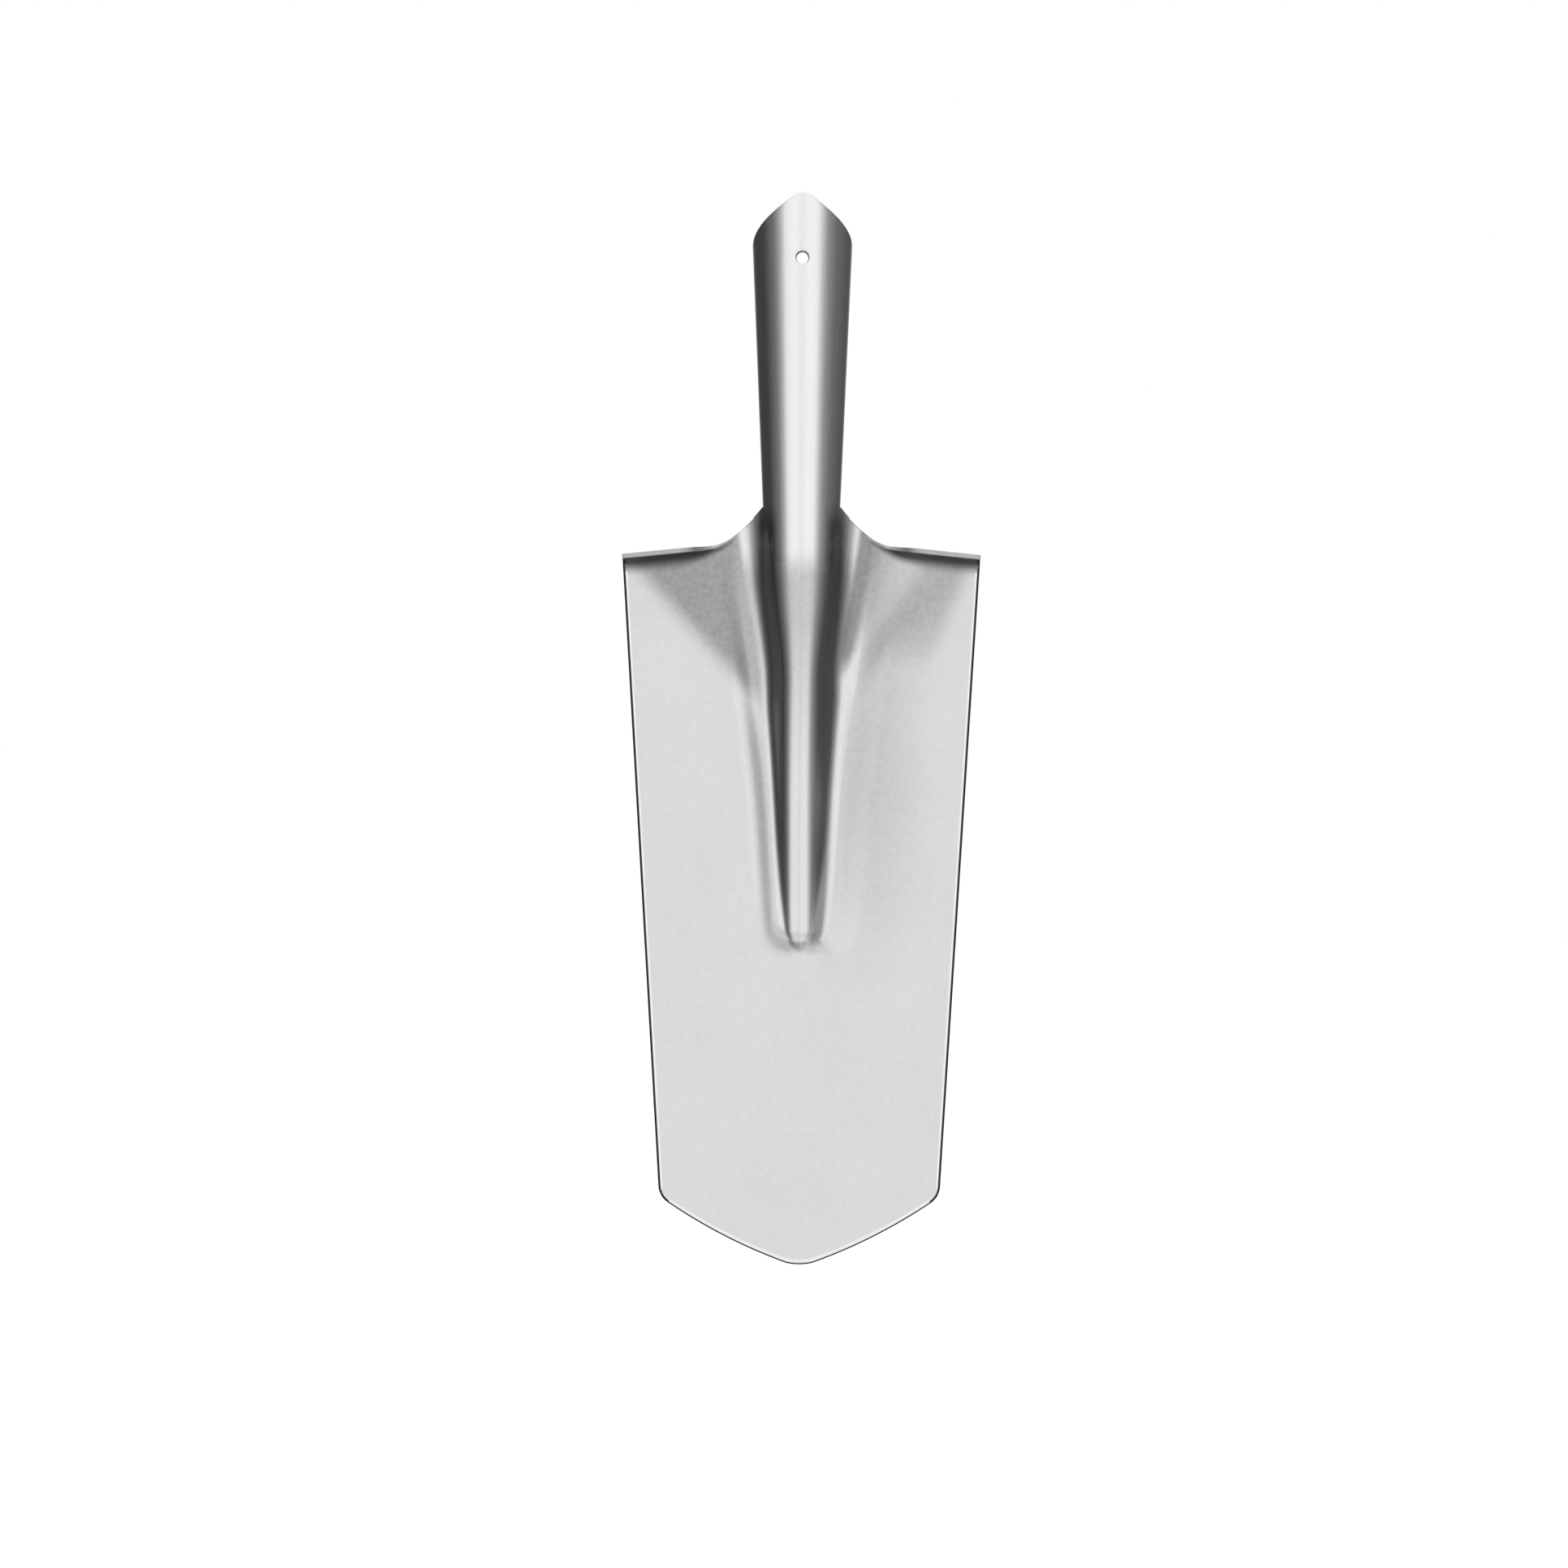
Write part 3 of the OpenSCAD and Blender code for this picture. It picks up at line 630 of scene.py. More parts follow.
def blasted_steel():
    """Blasted steel sheet: matte and even, with a fine grain and soft clouds, and duller on its as-pressed back. Its
    colour also carries painted shade and a painted edge highlight.
    """
    material, tree = new_material("blasted_steel")
    place = add(tree, "ShaderNodeTexCoord").outputs["Object"]
    grain = add(tree, "ShaderNodeTexNoise", Vector=place, Scale=per_metre(BLAST_GRAIN), Detail=3.0, Roughness=0.6)
    clouds = add(tree, "ShaderNodeTexNoise", Vector=place, Scale=per_metre(BLAST_CLOUD), Detail=4.0, Roughness=0.55)
    speck = add(tree, "ShaderNodeTexNoise", Vector=place, Scale=per_metre(BLAST_SPECK), Detail=2.0, Roughness=0.5)

    # The scale mark holds painted shade; the drawn sheet mark holds a duller finish with painted shade beside the rib;
    # the rim mark holds painted shade; the edge mark holds a painted highlight
    edge, rim, back, drawn, scale, brushed = (
        add(tree, "ShaderNodeAttribute", {"attribute_name": mark}).outputs["Fac"]
        for mark in ("painted_edge_highlight", "painted_rim_shade", "back", "drawn", "scale", "brushed"))

    # The even grey of the flat: half of its change is clouds, half is specks
    tone = add(tree, "ShaderNodeMath", {"operation": "MULTIPLY_ADD"}, _0=clouds.outputs["Fac"], _1=0.5, _2=0.25)
    tone = add(tree, "ShaderNodeMath", {"operation": "MULTIPLY_ADD"},
               _0=speck.outputs["Fac"], _1=0.5, _2=tone.outputs[0])
    tint = add(tree, "ShaderNodeMix", OF_COLOURS, _0=tone.outputs[0], _6=linear("#d8d8d8"), _7=linear("#eaeaea"))

    # The dull drawn sheet with its painted shade, and the dark painted shade of steep faces and creases, show on the
    # front alone; the rim's painted shade is as dark
    front = add(tree, "ShaderNodeMath", {"operation": "SUBTRACT"}, _0=1.0, _1=back).outputs[0]
    drawn = add(tree, "ShaderNodeMath", {"operation": "MULTIPLY"}, _0=drawn, _1=front).outputs[0]
    dull = add(tree, "ShaderNodeMix", OF_COLOURS, _0=speck.outputs["Fac"], _6=linear("#9a9a9a"), _7=linear("#c0c0c0"))
    tint = add(tree, "ShaderNodeMix", OF_COLOURS, _0=drawn, _6=tint.outputs[2], _7=dull.outputs[2])
    scale = add(tree, "ShaderNodeMath", {"operation": "MULTIPLY"}, _0=scale, _1=front).outputs[0]
    dark = add(tree, "ShaderNodeMath", {"operation": "MAXIMUM"}, _0=scale, _1=rim)
    tint = add(tree, "ShaderNodeMix", OF_COLOURS, _0=dark.outputs[0], _6=tint.outputs[2], _7=linear(PAINTED_SHADE_GREY))

    # Brushed bright down over the neck, and a painted highlight along the edges
    bright = add(tree, "ShaderNodeMath", {"operation": "MULTIPLY"}, _0=neck_fade(tree, place)[0], _1=brushed)
    tint = add(tree, "ShaderNodeMix", OF_COLOURS, _0=bright.outputs[0], _6=tint.outputs[2], _7=linear(BRIGHT_NECK))
    colour = add(tree, "ShaderNodeMix", OF_COLOURS, _0=edge, _6=tint.outputs[2], _7=linear(PAINTED_EDGE_HIGHLIGHT))

    # Shine: uneven by the grain, less on drawn sheet and its painted shade, and least on the back
    shine = add(tree, "ShaderNodeMapRange", Value=grain.outputs["Fac"],
                From_Min=0.3, From_Max=0.7, To_Min=0.21, To_Max=0.27)
    rough = add(tree, "ShaderNodeMix", OF_VALUES, _0=drawn, _2=shine.outputs[0], _3=0.42)
    rough = add(tree, "ShaderNodeMix", OF_VALUES, _0=back, _2=rough.outputs[0], _3=0.5)
    bump = add(tree, "ShaderNodeBump", Strength=0.25, Distance=GRAIN_DEPTH * MM, Height=grain.outputs["Fac"])
    steel = add(tree, "ShaderNodeBsdfPrincipled", Base_Color=colour.outputs[2], Metallic=1.0,
                Roughness=rough.outputs[0], Normal=bump.outputs[0])
    add(tree, "ShaderNodeOutputMaterial", Surface=steel.outputs[0])
    return material


def brushed_steel():
    """Socket sheet brushed along its length: bright, with fine long streaks, fading to matte beside the neck weld,
    with painted shade on its steep sides.
    """
    material, tree = new_material("brushed_socket_steel")
    place = add(tree, "ShaderNodeTexCoord").outputs["Object"]
    clouds = add(tree, "ShaderNodeTexNoise", Vector=place, Scale=per_metre(BRUSH_CLOUD), Detail=3.0, Roughness=0.5)
    bright, streaks = neck_fade(tree, place)
    lines = add(tree, "ShaderNodeMix", OF_COLOURS, _0=streaks, _6=linear("#eeeeee"), _7=linear("#fcfcfc"))
    dull = add(tree, "ShaderNodeMix", OF_COLOURS, _0=clouds.outputs["Fac"],
               _6=linear("#c6c6c6"), _7=linear("#d8d8d8"))
    tint = add(tree, "ShaderNodeMix", OF_COLOURS, _0=bright, _6=dull.outputs[2], _7=lines.outputs[2])
    # Painted shade on the steep sides
    scale = add(tree, "ShaderNodeAttribute", {"attribute_name": "scale"}).outputs["Fac"]
    colour = add(tree, "ShaderNodeMix", OF_COLOURS, _0=scale, _6=tint.outputs[2], _7=linear(PAINTED_SHADE_GREY))
    shine = add(tree, "ShaderNodeMapRange", Value=streaks, From_Min=0.3, From_Max=0.7, To_Min=0.22, To_Max=0.28)
    rough = add(tree, "ShaderNodeMix", OF_VALUES, _0=bright, _2=0.29, _3=shine.outputs[0])
    bump = add(tree, "ShaderNodeBump", Strength=0.15, Distance=LINE_DEPTH * MM, Height=streaks)
    steel = add(tree, "ShaderNodeBsdfPrincipled", Base_Color=colour.outputs[2], Metallic=1.0,
                Roughness=rough.outputs[0], Normal=bump.outputs[0])
    add(tree, "ShaderNodeOutputMaterial", Surface=steel.outputs[0])
    return material


def ground_weld():
    """Weld metal ground back to the sheet: a little darker than it, with small uneven facets, and painted shade on its
    steep sides.
    """
    material, tree = new_material("ground_weld")
    place = add(tree, "ShaderNodeTexCoord").outputs["Object"]
    facets = add(tree, "ShaderNodeTexNoise", Vector=place, Scale=per_metre(WELD_FACET), Detail=3.0, Roughness=0.6)
    dull = add(tree, "ShaderNodeMix", OF_COLOURS, _0=facets.outputs["Fac"],
               _6=linear("#c0c0c0"), _7=linear("#dadada"))
    tint = add(tree, "ShaderNodeMix", OF_COLOURS, _0=neck_fade(tree, place)[0], _6=dull.outputs[2],
               _7=linear(BRIGHT_NECK))
    # Painted shade on the steep sides
    scale = add(tree, "ShaderNodeAttribute", {"attribute_name": "scale"}).outputs["Fac"]
    colour = add(tree, "ShaderNodeMix", OF_COLOURS, _0=scale, _6=tint.outputs[2], _7=linear(PAINTED_SHADE_GREY))
    bump = add(tree, "ShaderNodeBump", Strength=0.12, Distance=FACET_DEPTH * MM, Height=facets.outputs["Fac"])
    steel = add(tree, "ShaderNodeBsdfPrincipled", Base_Color=colour.outputs[2], Metallic=1.0,
                Roughness=0.27, Normal=bump.outputs[0])
    add(tree, "ShaderNodeOutputMaterial", Surface=steel.outputs[0])
    return material


BLASTED = blasted_steel()
BRUSHED = brushed_steel()
WELD = ground_weld()


# Blade. The places in the next functions are heights and half widths on the drawing.

def rib_foot(z):
    """Half width of the rib at its foot, kept on below its end."""
    return rib_form(max(z, RIB_FLAT_Z)).foot_x


def press_shift(x, z):
    """The press left the rib's crest a little to the left, and its right foot and the ledge there further out."""
    beside = abs(x) / rib_foot(z)
    crest_part = fade(RIB_Z - 30.0, RIB_Z - 110.0, z) * fade(-335.0, -319.0, z) * fade(0.8, 0.3, beside)
    along = fade(RIB_Z, RIB_Z - 30.0, z) * fade(-370.0, -330.0, z)
    right_part = along * fade(0.5, 1.0, beside) * fade(68.0, 28.0, x) if x > 0.0 else 0.0
    return PRESS_SHIFT * right_part - CREST_SHIFT * crest_part


def blade_place(i, j):
    """A point of the whole blade: both halves are alike, apart from the unevenness of the pressing."""
    col = i - HALF
    if abs(col) < WING_COL and j < ROW_NECK:
        return None
    p = blade_point(abs(col), j)
    x = math.copysign(p.x, col)
    eased = ledge(x, p.z, RIGHT_SLOPE * fade(0.0, 12.0, x)) - ledge(x, p.z)
    return Vector((x + press_shift(x, p.z), p.y - eased, p.z))


def mark_edge_highlight(bm):
    """Marks the strips of faces along the sides and the lower edge, which get a painted highlight."""
    mark = bm.faces.layers.float.new("painted_edge_highlight")
    lower = {f for v in bm.verts if v.is_boundary and v.co.z < LOW_Z for f in v.link_faces}
    for f in bm.faces:
        p = f.calc_center_median()
        beside = side_x(p.z) - abs(p.x) < STRIP_REACH
        if (beside or f in lower) and p.z < UNDER_TREAD_Z:
            f[mark] = 1.0


# Sides of the sheet by the backward part of a face's normal: the flat front is below the first value, the back above
# the second, and the rim between the first and the third
FLAT_FACING, BACK_FACING, RIM_FACING = -0.98, 0.3, 0.7


def mark_back_and_rim_shade(bm):
    """Marks the as-pressed back and the rounded rim, which gets painted shade. Only the flat keeps the painted edge
    highlight.
    """
    mark = bm.faces.layers.float["painted_edge_highlight"]
    rim, back = bm.faces.layers.float.new("painted_rim_shade"), bm.faces.layers.float.new("back")
    bm.normal_update()
    for f in bm.faces:
        f[back] = 1.0 if f.normal.y > BACK_FACING else 0.0
        if f.normal.y > FLAT_FACING:
            f[mark] = 0.0
            p = f.calc_center_median()
            outside = side_x(p.z) - abs(p.x) < SIDE_ROUND or p.z < LOW_Z
            f[rim] = 1.0 if outside and p.z < TREAD_Z - TREAD_BEND_R and f.normal.y < RIM_FACING else 0.0


# How dull drawn sheet is on the rib's crest, how much painted shade lies in the right shoulder, on the ledge's slope
# and its end, and how dull the treads are
CREST_DULL, BESIDE_SHADOW, SLOPE_SHADE, END_SHADE, TREAD_DULL = 0.45, 0.42, 0.42, 0.5, 0.75
# Share of the left shoulder's painted shade that is left near the rib
INNER_SHADE = 0.72  # share that is left in the left shoulder near the rib
# How dark the painted shade is: on steep flanks, in the treads' creases, on the right flank near its end, in the inner
# band
STEEP_DARK, CREASE_DARK, FLANK_DARK, BAND_DARK = 0.7, 0.75, 0.72, 0.2
# Painted shadow of the rib in the right shoulder, by degrees from straight up round the foot of its inner dark band
RIGHT_SHADOW_FAN = ((0.0, 1.0), (12.0, 1.0), (18.0, 0.55), (24.0, 0.26), (30.0, 0.28), (37.0, 0.7), (45.0, 0.8),
             (58.0, 0.55), (75.0, 0.25), (95.0, 0.0), (180.0, 0.0))
FAN_X, FAN_Z = 19.0, -198.0
BAND_TURN = 18.0  # degrees to which the inner band reaches
FAN_LOW_L = 16.0  # height over which the fan comes in above its foot


def level_at(stops, place):
    for (a, low), (b, high) in zip(stops, stops[1:]):
        if place <= b:
            return mix(low, high, (place - a) / (b - a))


def fan_turn(x, z):
    """Degrees from straight up round the fan's foot."""
    return math.degrees(math.atan2(max(0.0, x - FAN_X), z - FAN_Z))


def shoulder_shade(x, z):
    """Painted shade beside the rib: evenly in the left shoulder's dish, and a painted shadow of the rib in a fan of
    bands in the right one.
    """
    if x < 0.0:
        return fade(-9.0, 9.0, inside_dish(-x, z)) * mix(INNER_SHADE, 1.0, fade(24.0, 36.0, -x))
    turn, reach = fan_turn(x, z), math.hypot(max(0.0, x - FAN_X), z - FAN_Z)
    fan = level_at(RIGHT_SHADOW_FAN, turn) * mix(1.0, fade(0.0, 45.0, reach), fade(BAND_TURN, BAND_TURN + 8.0, turn))
    fan *= fade(80.0, 68.0, x - 0.4 * (z + 150.0)) * fade(FAN_Z, FAN_Z + FAN_LOW_L, z)
    beside = BESIDE_SHADOW * fade(66.0, 30.0, x) * fade(-355.0, -235.0, z)
    return fan + (1.0 - fan) * beside * fade(-0.75, 0.75, past_ledge(x - PRESS_SHIFT, z))


def slope_shade(x, z):
    """Painted shade on the ledge's slope, on the left and round its end."""
    past, end = past_ledge(x, z), fade(-304.0, -312.0, z)
    start = mix(-1.5, -4.0, end)
    on_slope = fade(start, start + 2.5, past) * fade(9.5, 3.5, past)
    level = mix(SLOPE_SHADE, END_SHADE * fade(1.0, 7.0, abs(x)), end)
    return level * on_slope * fade(9.0, 5.0, x) * fade(-190.0, -230.0, z)


def right_flank(x, z):
    """1 on the rib's right flank towards its end, where it leans less and gets the painted shade all the same."""
    beside = x / (rib_foot(z) + PRESS_SHIFT)
    return fade(0.18, 0.52, beside) * fade(0.9, 0.7, beside) * fade(-225.0, -285.0, z) * fade(-318.0, -312.0, z)


def inner_band(x, z):
    """1 in the right shoulder's inner band of painted shade, close beside the rib."""
    return fade(BAND_TURN, BAND_TURN - 8.0, fan_turn(x, z)) * fade(15.0, 20.0, x) * fade(FAN_Z, FAN_Z + FAN_LOW_L, z)


def tread_crease(half, z):
    """1 in the crease below a turned tread, where painted shade lies, and the depth of a place below the tread's edge.
    """
    turned = fade(29.0, 59.0, half)
    below = top_z(half) - mix(0.8, SHEET, turned) - z
    start, width = mix(0.7, 2.5, turned), mix(2.0, 6.0, turned)
    return fade(0.0, 0.8, below) * fade(start + width, start, below), below


def flank_shade(facing, z):
    """How much painted shade a steep face beside the neck or the rib gets, by the cosine of its turn from the front.
    """
    return fade(0.86, 0.56, facing) * fade(-114.0, -128.0, z)


def cone_facing(p):
    """Cosine of the turn of the socket or the neck weld from the front."""
    return abs(p.y) / math.hypot(p.x, p.y)


def neck_facing(p):
    """Cosine of the lean of the neck's section at a place's half width, found by halving."""
    low, high = 0.0, form_l(p.z).whole
    for _ in range(16):
        s = (low + high) / 2.0
        low, high = (s, high) if form_point(p.z, s).x < abs(p.x) else (low, s)
    return math.cos(form_turn(p.z, low))


def mark_facing_shade(bm, facing):
    """Marks the painted shade of the steep sides on the socket and the welds too."""
    scale = bm.verts.layers.float.new("scale")
    for v in bm.verts:
        v[scale] = STEEP_DARK * flank_shade(facing(v.co), v.co.z)


def mark_drawn_sheet(bm):
    """Marks the dull drawn sheet with the painted shade beside the rib, the painted shade on steep flanks and in the
    treads' creases, and the brushed neck.
    """
    drawn, scale = bm.verts.layers.float.new("drawn"), bm.verts.layers.float.new("scale")
    brushed = bm.verts.layers.float.new("brushed")
    bm.normal_update()
    for v in bm.verts:
        x, half, z = v.co.x, abs(v.co.x), v.co.z
        facing = neck_facing(v.co) if z > RIB_Z - 8.0 else abs(v.normal.y)
        steep = flank_shade(facing, z) if half < WING_KNEE else 0.0
        start = rib_foot(z) - (3.0 if x > 0.0 else 1.0)
        beside = fade(start, start + 3.0, half)
        dull = mix(CREST_DULL * fade(-245.0, -145.0, z), shoulder_shade(x, z), beside)
        dull = max(dull, slope_shade(x, z))
        tread, (crease, below) = fade(28.5, 32.5, half), tread_crease(half, z)
        if below < 1.0:
            dull = mix(dull, TREAD_DULL, tread)
        v[drawn] = dull * (1.0 - steep)
        v[scale] = max(STEEP_DARK * steep, CREASE_DARK * tread * crease, FLANK_DARK * right_flank(x, z),
                       BAND_DARK * beside * inner_band(x, z))
        v[brushed] = fade(-162.0, -156.0, z) * (1.0 - beside) * (1.0 - steep)


def make_blade():
    """The pressed sheet, with rims rounded more at the sides than at the top, and none where the welds join it."""
    bm = sheet_grid(2 * HALF, ROW_LAST, blade_place)
    face_out(bm, lambda p: FRONT)
    mark_edge_highlight(bm)
    mark_drawn_sheet(bm)
    thicken(bm, SHEET, ((SIDE_ROUND, lambda p: p.z < SIDE_TOP_Z), (RIM_ROUND, lambda p: p.z >= SIDE_TOP_Z)),
            lambda p: abs(p.x) < column_x(WING_COL) + 0.1 and RIB_Z - 1.0 < p.z < WING_Z)
    mark_back_and_rim_shade(bm)
    blade = piece("pressed_blade", bm, BLASTED)
    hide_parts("blade")


# Socket: steps of its grid round it, above the seam and below, and the rings of points that each hole draws in
AROUND, TOP_ROWS, BODY_ROWS = 160, 14, 56
HOLE_IN, HOLE_OUT = 3, 5


def tongue_edge(s):
    """Height of the rim at arc length s from the front, on the unrolled sheet."""
    lean = math.atan(TONGUE_H / (MOUTH_R * math.pi / 2.0))
    if abs(s) < TONGUE_TIP_R * math.sin(lean):
        return TONGUE_H - TONGUE_TIP_R / math.cos(lean) + math.sqrt(TONGUE_TIP_R ** 2 - s * s)
    return max(0.0, TONGUE_H - abs(s) * math.tan(lean))


def rim_z(turn):
    """Height of the rim at a turn from the front, where the tongue stands on the cone."""
    z = tongue_edge(MOUTH_R * turn)
    if abs(turn) < math.pi / 2.0:
        a = math.asin(max(-1.0, min(1.0, cone_r(z) * math.sin(turn) / MOUTH_R)))
        z = tongue_edge(MOUTH_R * a)
    return z


def lower_z(turn):
    """Lower end of the socket: straight across the front, arched at the back."""
    z = SOCKET_END_Z
    for _ in range(4):
        y = -cone_r(z) * math.cos(turn)
        reach = ARCH_R ** 2 - (ARCH_Y - y) ** 2
        z = SOCKET_END_Z + math.sqrt(reach) if reach > 0.0 else SOCKET_END_Z
    return z


def on_cone(turn, z):
    r = cone_r(z)
    return Vector((r * math.sin(turn), -r * math.cos(turn), z))


def socket_flat(i, j):
    """Turn and height of a grid point on the unrolled socket, before the hole is opened."""
    turn = 2.0 * math.pi * i / AROUND - math.pi
    if j <= TOP_ROWS:
        z = mix(rim_z(turn), SEAM_Z, j / TOP_ROWS)
    else:
        z = mix(SEAM_Z, lower_z(turn), (j - TOP_ROWS) / BODY_ROWS)
    if i in (0, AROUND) and j > TOP_ROWS:
        turn -= math.copysign(SEAM_GAP / 2.0 / cone_r(z), turn)
    return turn, z


def hole_row(i):
    """The row of points nearest to the hole in one column."""
    return min(range(TOP_ROWS + 1), key=lambda j: abs(socket_flat(i, j)[1] - HOLE_Z))


FRONT_ROW, BACK_ROW = hole_row(AROUND // 2), hole_row(0)


def socket_place(i, j):
    """The rings of points round each hole close in on a circle, and what lies inside it is left out."""
    turn, z = socket_flat(i, j)
    for centre, row in ((AROUND // 2, FRONT_ROW), (0, BACK_ROW), (AROUND, BACK_ROW)):
        ring = max(abs(i - centre), abs(j - row))
        if ring < HOLE_IN:
            return None
        if ring <= HOLE_OUT:
            middle = 2.0 * math.pi * centre / AROUND - math.pi
            flat = Vector(((turn - middle) * cone_r(z), z - HOLE_Z))
            round_dir = Vector((i - centre, row - j)).normalized()
            flat = (round_dir * HOLE_R).lerp(flat, (ring - HOLE_IN) / (HOLE_OUT - HOLE_IN))
            z = HOLE_Z + flat.y
            turn = middle + flat.x / cone_r(z)
    return on_cone(turn, z)


def make_socket():
    """The rolled sheet, closed above the seam, with its rims rounded where no weld joins them."""
    bm = sheet_grid(AROUND, TOP_ROWS + BODY_ROWS, socket_place)
    bmesh.ops.remove_doubles(bm, verts=bm.verts[:], dist=MERGE)
    face_out(bm, lambda p: Vector((p.x, p.y, 0.0)))

    def welded(p):
        at_seam = abs(p.x) < 1.0 and p.y > 0.0 and p.z < SEAM_Z + 0.5
        at_neck = p.z < SOCKET_END_Z + 0.6 and p.y < 4.0
        return at_seam or at_neck

    mark_facing_shade(bm, cone_facing)
    thicken(bm, SHEET, ((RIM_ROUND, lambda p: True),), welded)
    socket = piece("rolled_socket", bm, BRUSHED)
    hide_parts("socket")


# Neck weld: how far round it runs to each side, and its steps
BEAD_TURN = math.radians(100.0)
BEAD_AROUND, BEAD_ROWS = 80, 4


def make_neck_weld():
    """The weld that joins the socket's lower edge to the rib, ground flush with both."""
    def place(i, j):
        return on_cone(BEAD_TURN * (2.0 * i / BEAD_AROUND - 1.0), mix(SOCKET_END_Z, RIB_Z, j / BEAD_ROWS))

    bm = sheet_grid(BEAD_AROUND, BEAD_ROWS, place)
    face_out(bm, lambda p: FRONT)
    mark_facing_shade(bm, cone_facing)
    thicken(bm, SHEET, (), lambda p: True)
    weld = piece("neck_weld_bead", bm, WELD)
    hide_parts("neck_weld")


# Wing welds: steps over the face, along the seat on the socket and down the weld, how far the face runs towards the
# crest, and how clear the seat stays of the socket
WELD_CURVE, WELD_SEAT, WELD_STEPS = 10, 8, 24
WELD_TIP = 0.92
SEAT_CLEAR = 0.02


def wing_weld_ring(t):
    """Section of a wing weld, from the top of the wing, t = 0, to the top of the rib, t = 1."""
    wing_top = top_z(column_x(WING_COL))
    z = mix(wing_top, RIB_Z, t)
    edge, tip = form_l(z).whole * WING_COL / FORM, form_l(z).crest
    curve = [form_point(z, mix(edge, tip, WELD_TIP * k / WELD_CURVE)) for k in range(WELD_CURVE + 1)]
    lean = form_turn(z, edge)
    root = curve[0] - SHEET * Vector((math.sin(lean), math.cos(lean)))
    first, last = (math.atan2(p.x, p.y) for p in (curve[-1], root))
    turns = [mix(first, last, k / WELD_SEAT) for k in range(WELD_SEAT + 1)]
    seat = [(cone_r(z) + SEAT_CLEAR) * Vector((math.sin(a), math.cos(a))) for a in turns]
    ring = []
    for p in curve + seat + [root]:
        up = (1.0 - t) * (top_z(p.x) - wing_top)
        wider = (cone_r(z + up) - cone_r(z)) * p.normalized()
        ring.append(on_blade(p + wider, z + up))
    return ring


def make_wing_weld(side, name, node):
    """The fillet weld between a wing and the side of the socket."""
    rings = [wing_weld_ring(k / WELD_STEPS) for k in range(WELD_STEPS + 1)]
    count = len(rings[0])

    def place(i, j):
        p = rings[j][i % count]
        return Vector((side * p.x, p.y, p.z))

    bm = sheet_grid(count, WELD_STEPS, place)
    bmesh.ops.remove_doubles(bm, verts=bm.verts[:], dist=WELD_MERGE)
    bmesh.ops.holes_fill(bm, edges=[e for e in bm.edges if e.is_boundary], sides=0)
    bmesh.ops.recalc_face_normals(bm, faces=bm.faces[:])
    keep_sharp_edges(bm)
    mark_facing_shade(bm, neck_facing)
    weld = piece(name, bm, WELD)
    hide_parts(node)


# Seam weld: its steps, half width, rise, rounded upper end and depth, how far it stops short of the slot's top and
# hangs past its end, and the ripples left along it
SEAM_ACROSS, SEAM_ALONG = 12, 220
SEAM_HALF, SEAM_RISE, SEAM_ROUND, SEAM_DEEP = 2.1, 0.75, 2.0, 0.6
SEAM_SHORT, SEAM_LONG = 0.2, 0.4
RIPPLE_H, RIPPLE_L, RIPPLE_BOW = 0.08, 1.6, 0.5


def make_seam_weld():
    """The weld along the socket's back, left as a low rippled bead."""
    top, bottom = SEAM_Z - SEAM_SHORT, lower_z(math.pi) - SEAM_LONG

    def place(i, j):
        u = 2.0 * i / SEAM_ACROSS - 1.0
        z = mix(top, bottom, j / SEAM_ALONG)
        ends = math.sqrt(max(0.0, 1.0 - max(0.0, 1.0 - (top - z) / SEAM_ROUND) ** 2))
        ripple = RIPPLE_H * math.cos(2.0 * math.pi * (z + RIPPLE_BOW * (1.0 - u * u)) / RIPPLE_L)
        rise = (SEAM_RISE + ripple) * math.sqrt(max(0.0, 1.0 - u * u)) * ends
        x, r = SEAM_HALF * u, cone_r(z)
        return Vector((x, math.sqrt(r * r - x * x) + rise, z))

    bm = sheet_grid(SEAM_ACROSS, SEAM_ALONG, place)
    face_out(bm, lambda p: BACK)
    bmesh.ops.solidify(bm, geom=bm.faces[:], thickness=SEAM_DEEP)
    weld = piece("seam_weld_bead", bm, WELD)
    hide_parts("seam_weld")


make_blade()
make_socket()
make_neck_weld()
make_wing_weld(-1.0, "wing_weld_bead_left", "wing_weld_left")
make_wing_weld(1.0, "wing_weld_bead_right", "wing_weld_right")
make_seam_weld()


# Studio, in metres: a pale floor, a white world, one soft lamp, and a light tent that only reflections see
MIDDLE = Vector((0.0, 0.0, -0.25))
FLOOR_Z, FLOOR_R = -0.56, 40.0
TENT_R = 10.0
WHITE = (1.0, 1.0, 1.0, 1.0)
SKY_LIGHT = 0.7  # the world's light on diffuse surfaces; what is seen of it is white
FLOOR_GLOW = 0.5  # added to the floor's paint where it is seen as the background
KEY_SIZE, KEY_POWER, KEY_PLACE = 2.4, 60.0, (-1.6, -2.4, 2.6)


def stage_piece(name, bm, material):
    mesh = bpy.data.meshes.new(name)
    bm.to_mesh(mesh)
    bm.free()
    mesh.materials.append(material)
    obj = bpy.data.objects.new(name, mesh)
    bpy.context.scene.collection.objects.link(obj)
    return obj


def only_in_reflections(obj):
    obj.visible_camera = obj.visible_diffuse = obj.visible_transmission = False
    obj.visible_shadow = obj.visible_volume_scatter = False


def see_background(tree):
    """1 for rays that look at the background: from the camera, from gloss and through glass."""
    path = add(tree, "ShaderNodeLightPath").outputs
    seen = add(tree, "ShaderNodeMath", {"operation": "MAXIMUM"}, _0=path["Is Camera Ray"], _1=path["Is Glossy Ray"])
    return add(tree, "ShaderNodeMath", {"operation": "MAXIMUM"},
               _0=seen.outputs[0], _1=path["Is Transmission Ray"]).outputs[0]


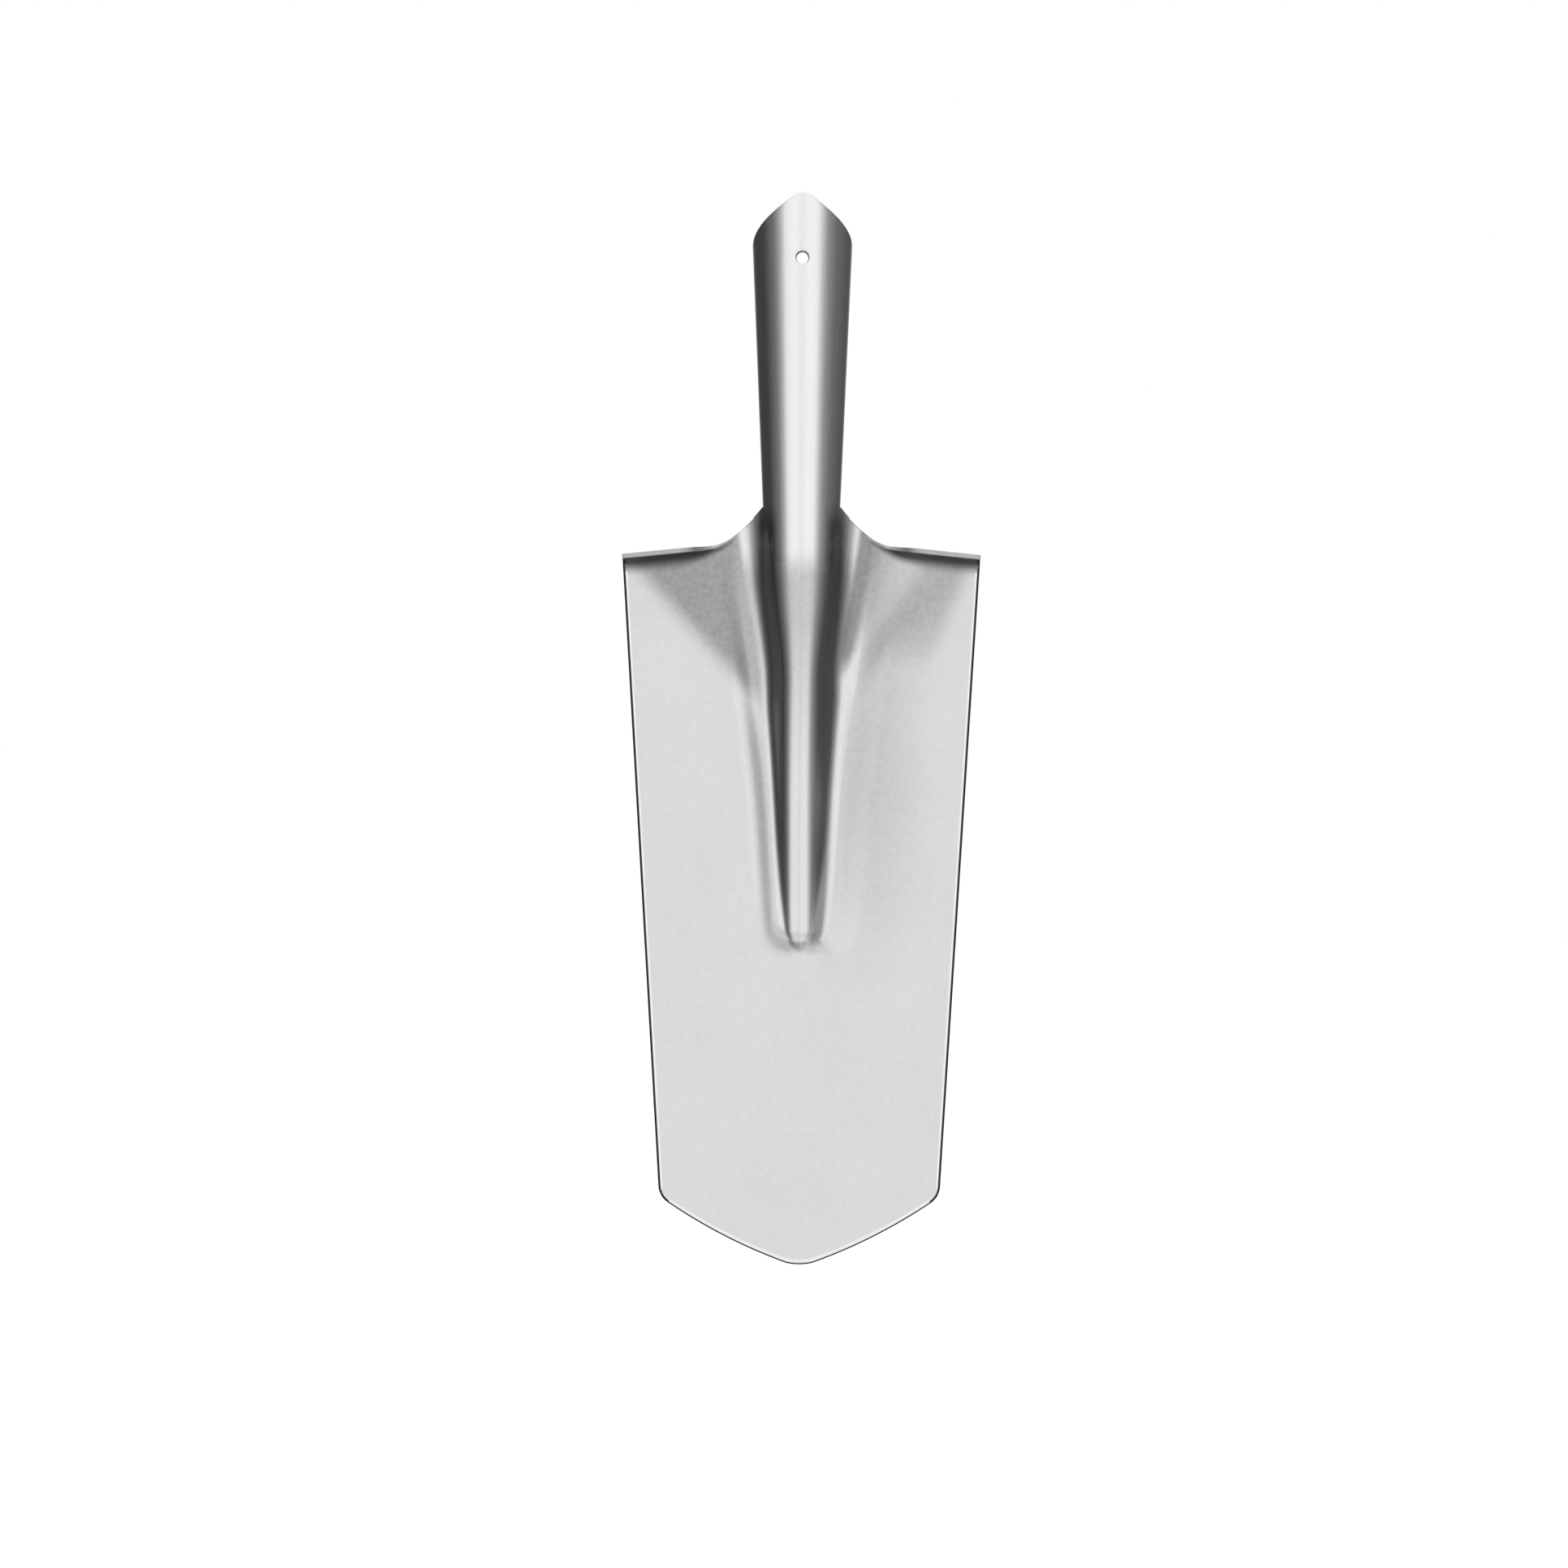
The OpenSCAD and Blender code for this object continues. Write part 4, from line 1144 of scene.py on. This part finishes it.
def set_world():
    world = bpy.data.worlds.new("white_studio")
    bpy.context.scene.world = world
    world.use_nodes = True
    tree = world.node_tree
    tree.nodes.clear()
    strength = add(tree, "ShaderNodeMapRange", Value=see_background(tree), To_Min=SKY_LIGHT, To_Max=1.0)
    sky = add(tree, "ShaderNodeBackground", Color=WHITE, Strength=strength.outputs[0])
    add(tree, "ShaderNodeOutputWorld", Surface=sky.outputs[0])


def make_floor():
    """A pale floor a little below the point, which reads as the white background and keeps the shadow."""
    material, tree = new_material("pale_floor")
    paint = add(tree, "ShaderNodeBsdfDiffuse", Color=linear("#f2f2f2"))
    glow = add(tree, "ShaderNodeEmission", Color=WHITE, Strength=FLOOR_GLOW)
    both = add(tree, "ShaderNodeAddShader", _0=paint.outputs[0], _1=glow.outputs[0])
    seen = add(tree, "ShaderNodeMixShader", _0=see_background(tree), _1=paint.outputs[0], _2=both.outputs[0])
    add(tree, "ShaderNodeOutputMaterial", Surface=seen.outputs[0])
    bm = bmesh.new()
    bmesh.ops.create_circle(bm, cap_ends=True, segments=96, radius=FLOOR_R,
                            matrix=Matrix.Translation((0.0, 0.0, FLOOR_Z)))
    stage_piece("floor", bm, material).visible_glossy = False


def graded(tree, value, stops):
    """A ramp of grey levels at the given places."""
    ramp = add(tree, "ShaderNodeValToRGB", Fac=value)
    ramp.color_ramp.interpolation = "EASE"
    marks = ramp.color_ramp.elements
    while len(marks) < len(stops):
        marks.new(1.0)
    for mark, (at, level) in zip(marks, stops):
        mark.position = at
        mark.color = (level, level, level, 1.0)
    return ramp.outputs["Color"]


# Levels of the tent by its turn from the front, in degrees, left negative
TENT_TURNS = ((-180, 0.55), (-168, 0.40), (-150, 0.05), (-105, 0.045), (-70, 0.15), (-52, 0.40), (-40, 0.95),
              (-14, 1.0), (0, 0.86), (14, 1.0), (37, 0.98), (50, 0.50), (62, 0.25), (90, 0.135), (130, 0.09),
              (150, 0.08), (168, 0.40), (180, 0.55))
# The cloth below lies a little to the left: levels by the cosine of a direction's turn from it
TENT_LOW = (-0.15, 0.0, -0.99)
TENT_DROPS = ((-1.0, 1.0), (0.15, 1.0), (0.50, 0.84), (0.76, 0.68), (0.87, 0.54), (0.95, 0.34), (1.0, 0.14))
# Upward part of a direction from which the tent turns white overhead, and at which it is white
TENT_TOP_LOW, TENT_TOP_HIGH = 0.35, 0.75


def studio_tent():
    """A light tent far round the object: white in front and overhead, with dark cloths at the sides and below."""
    material, tree = new_material("light_tent")
    place = add(tree, "ShaderNodeTexCoord").outputs["Object"]
    toward = add(tree, "ShaderNodeVectorMath", {"operation": "NORMALIZE"}, _0=place).outputs[0]
    turned = add(tree, "ShaderNodeMapping", Vector=toward, Rotation=(0.0, 0.0, math.radians(90.0)))
    turn = add(tree, "ShaderNodeTexGradient", {"gradient_type": "RADIAL"}, Vector=turned.outputs[0]).outputs["Fac"]
    side = graded(tree, turn, [(0.5 + t / 360.0, level) for t, level in TENT_TURNS])
    down = add(tree, "ShaderNodeVectorMath", {"operation": "DOT_PRODUCT"}, _0=toward, _1=TENT_LOW)
    drop = add(tree, "ShaderNodeMapRange", Value=down.outputs["Value"], From_Min=-1.0, From_Max=1.0)
    low = graded(tree, drop.outputs[0], [((q + 1.0) / 2.0, level) for q, level in TENT_DROPS])
    cloths = add(tree, "ShaderNodeMix", {"data_type": "RGBA", "blend_type": "MULTIPLY"}, _0=1.0, _6=side, _7=low)
    height = add(tree, "ShaderNodeSeparateXYZ", Vector=toward).outputs["Z"]
    top = add(tree, "ShaderNodeMapRange", {"interpolation_type": "SMOOTHSTEP"}, Value=height,
              From_Min=TENT_TOP_LOW, From_Max=TENT_TOP_HIGH)
    cloths = add(tree, "ShaderNodeMix", OF_COLOURS, _0=top.outputs[0], _6=cloths.outputs[2], _7=WHITE)
    glow = add(tree, "ShaderNodeEmission", Color=cloths.outputs[2], Strength=1.0)
    add(tree, "ShaderNodeOutputMaterial", Surface=glow.outputs[0])
    bm = bmesh.new()
    bmesh.ops.create_uvsphere(bm, u_segments=64, v_segments=32, radius=TENT_R,
                              matrix=Matrix.Translation(MIDDLE))
    only_in_reflections(stage_piece("light_tent", bm, material))


def key_lamp():
    """A large soft lamp high on the left, in front. Its light falls on the floor, and no reflection shows it."""
    lamp = bpy.data.lights.new("key", "AREA")
    lamp.shape, lamp.size, lamp.energy = "DISK", KEY_SIZE, KEY_POWER
    obj = bpy.data.objects.new("key", lamp)
    obj.location = KEY_PLACE
    obj.rotation_euler = (MIDDLE - obj.location).to_track_quat("-Z", "Y").to_euler()
    obj.visible_glossy = False
    bpy.context.scene.collection.objects.link(obj)


# Camera: level with the middle of the photograph's frame, far off with a long lens, rolled by a fifth of a degree
FRAME_W = 0.7085
CAMERA_Y = -12.0
CAMERA_X, CAMERA_Z = -0.0075, -0.2431
ROLL = math.radians(-0.2)


def set_camera():
    camera = bpy.data.cameras.new("camera")
    camera.sensor_width, camera.sensor_fit = 36.0, "HORIZONTAL"
    camera.lens = camera.sensor_width * -CAMERA_Y / FRAME_W
    obj = bpy.data.objects.new("camera", camera)
    obj.location = (CAMERA_X, CAMERA_Y, CAMERA_Z)
    obj.rotation_euler = (math.pi / 2.0, ROLL, 0.0)
    bpy.context.scene.collection.objects.link(obj)
    bpy.context.scene.camera = obj


set_world()
make_floor()
studio_tent()
key_lamp()
set_camera()
bpy.context.scene.view_settings.view_transform = "Standard"
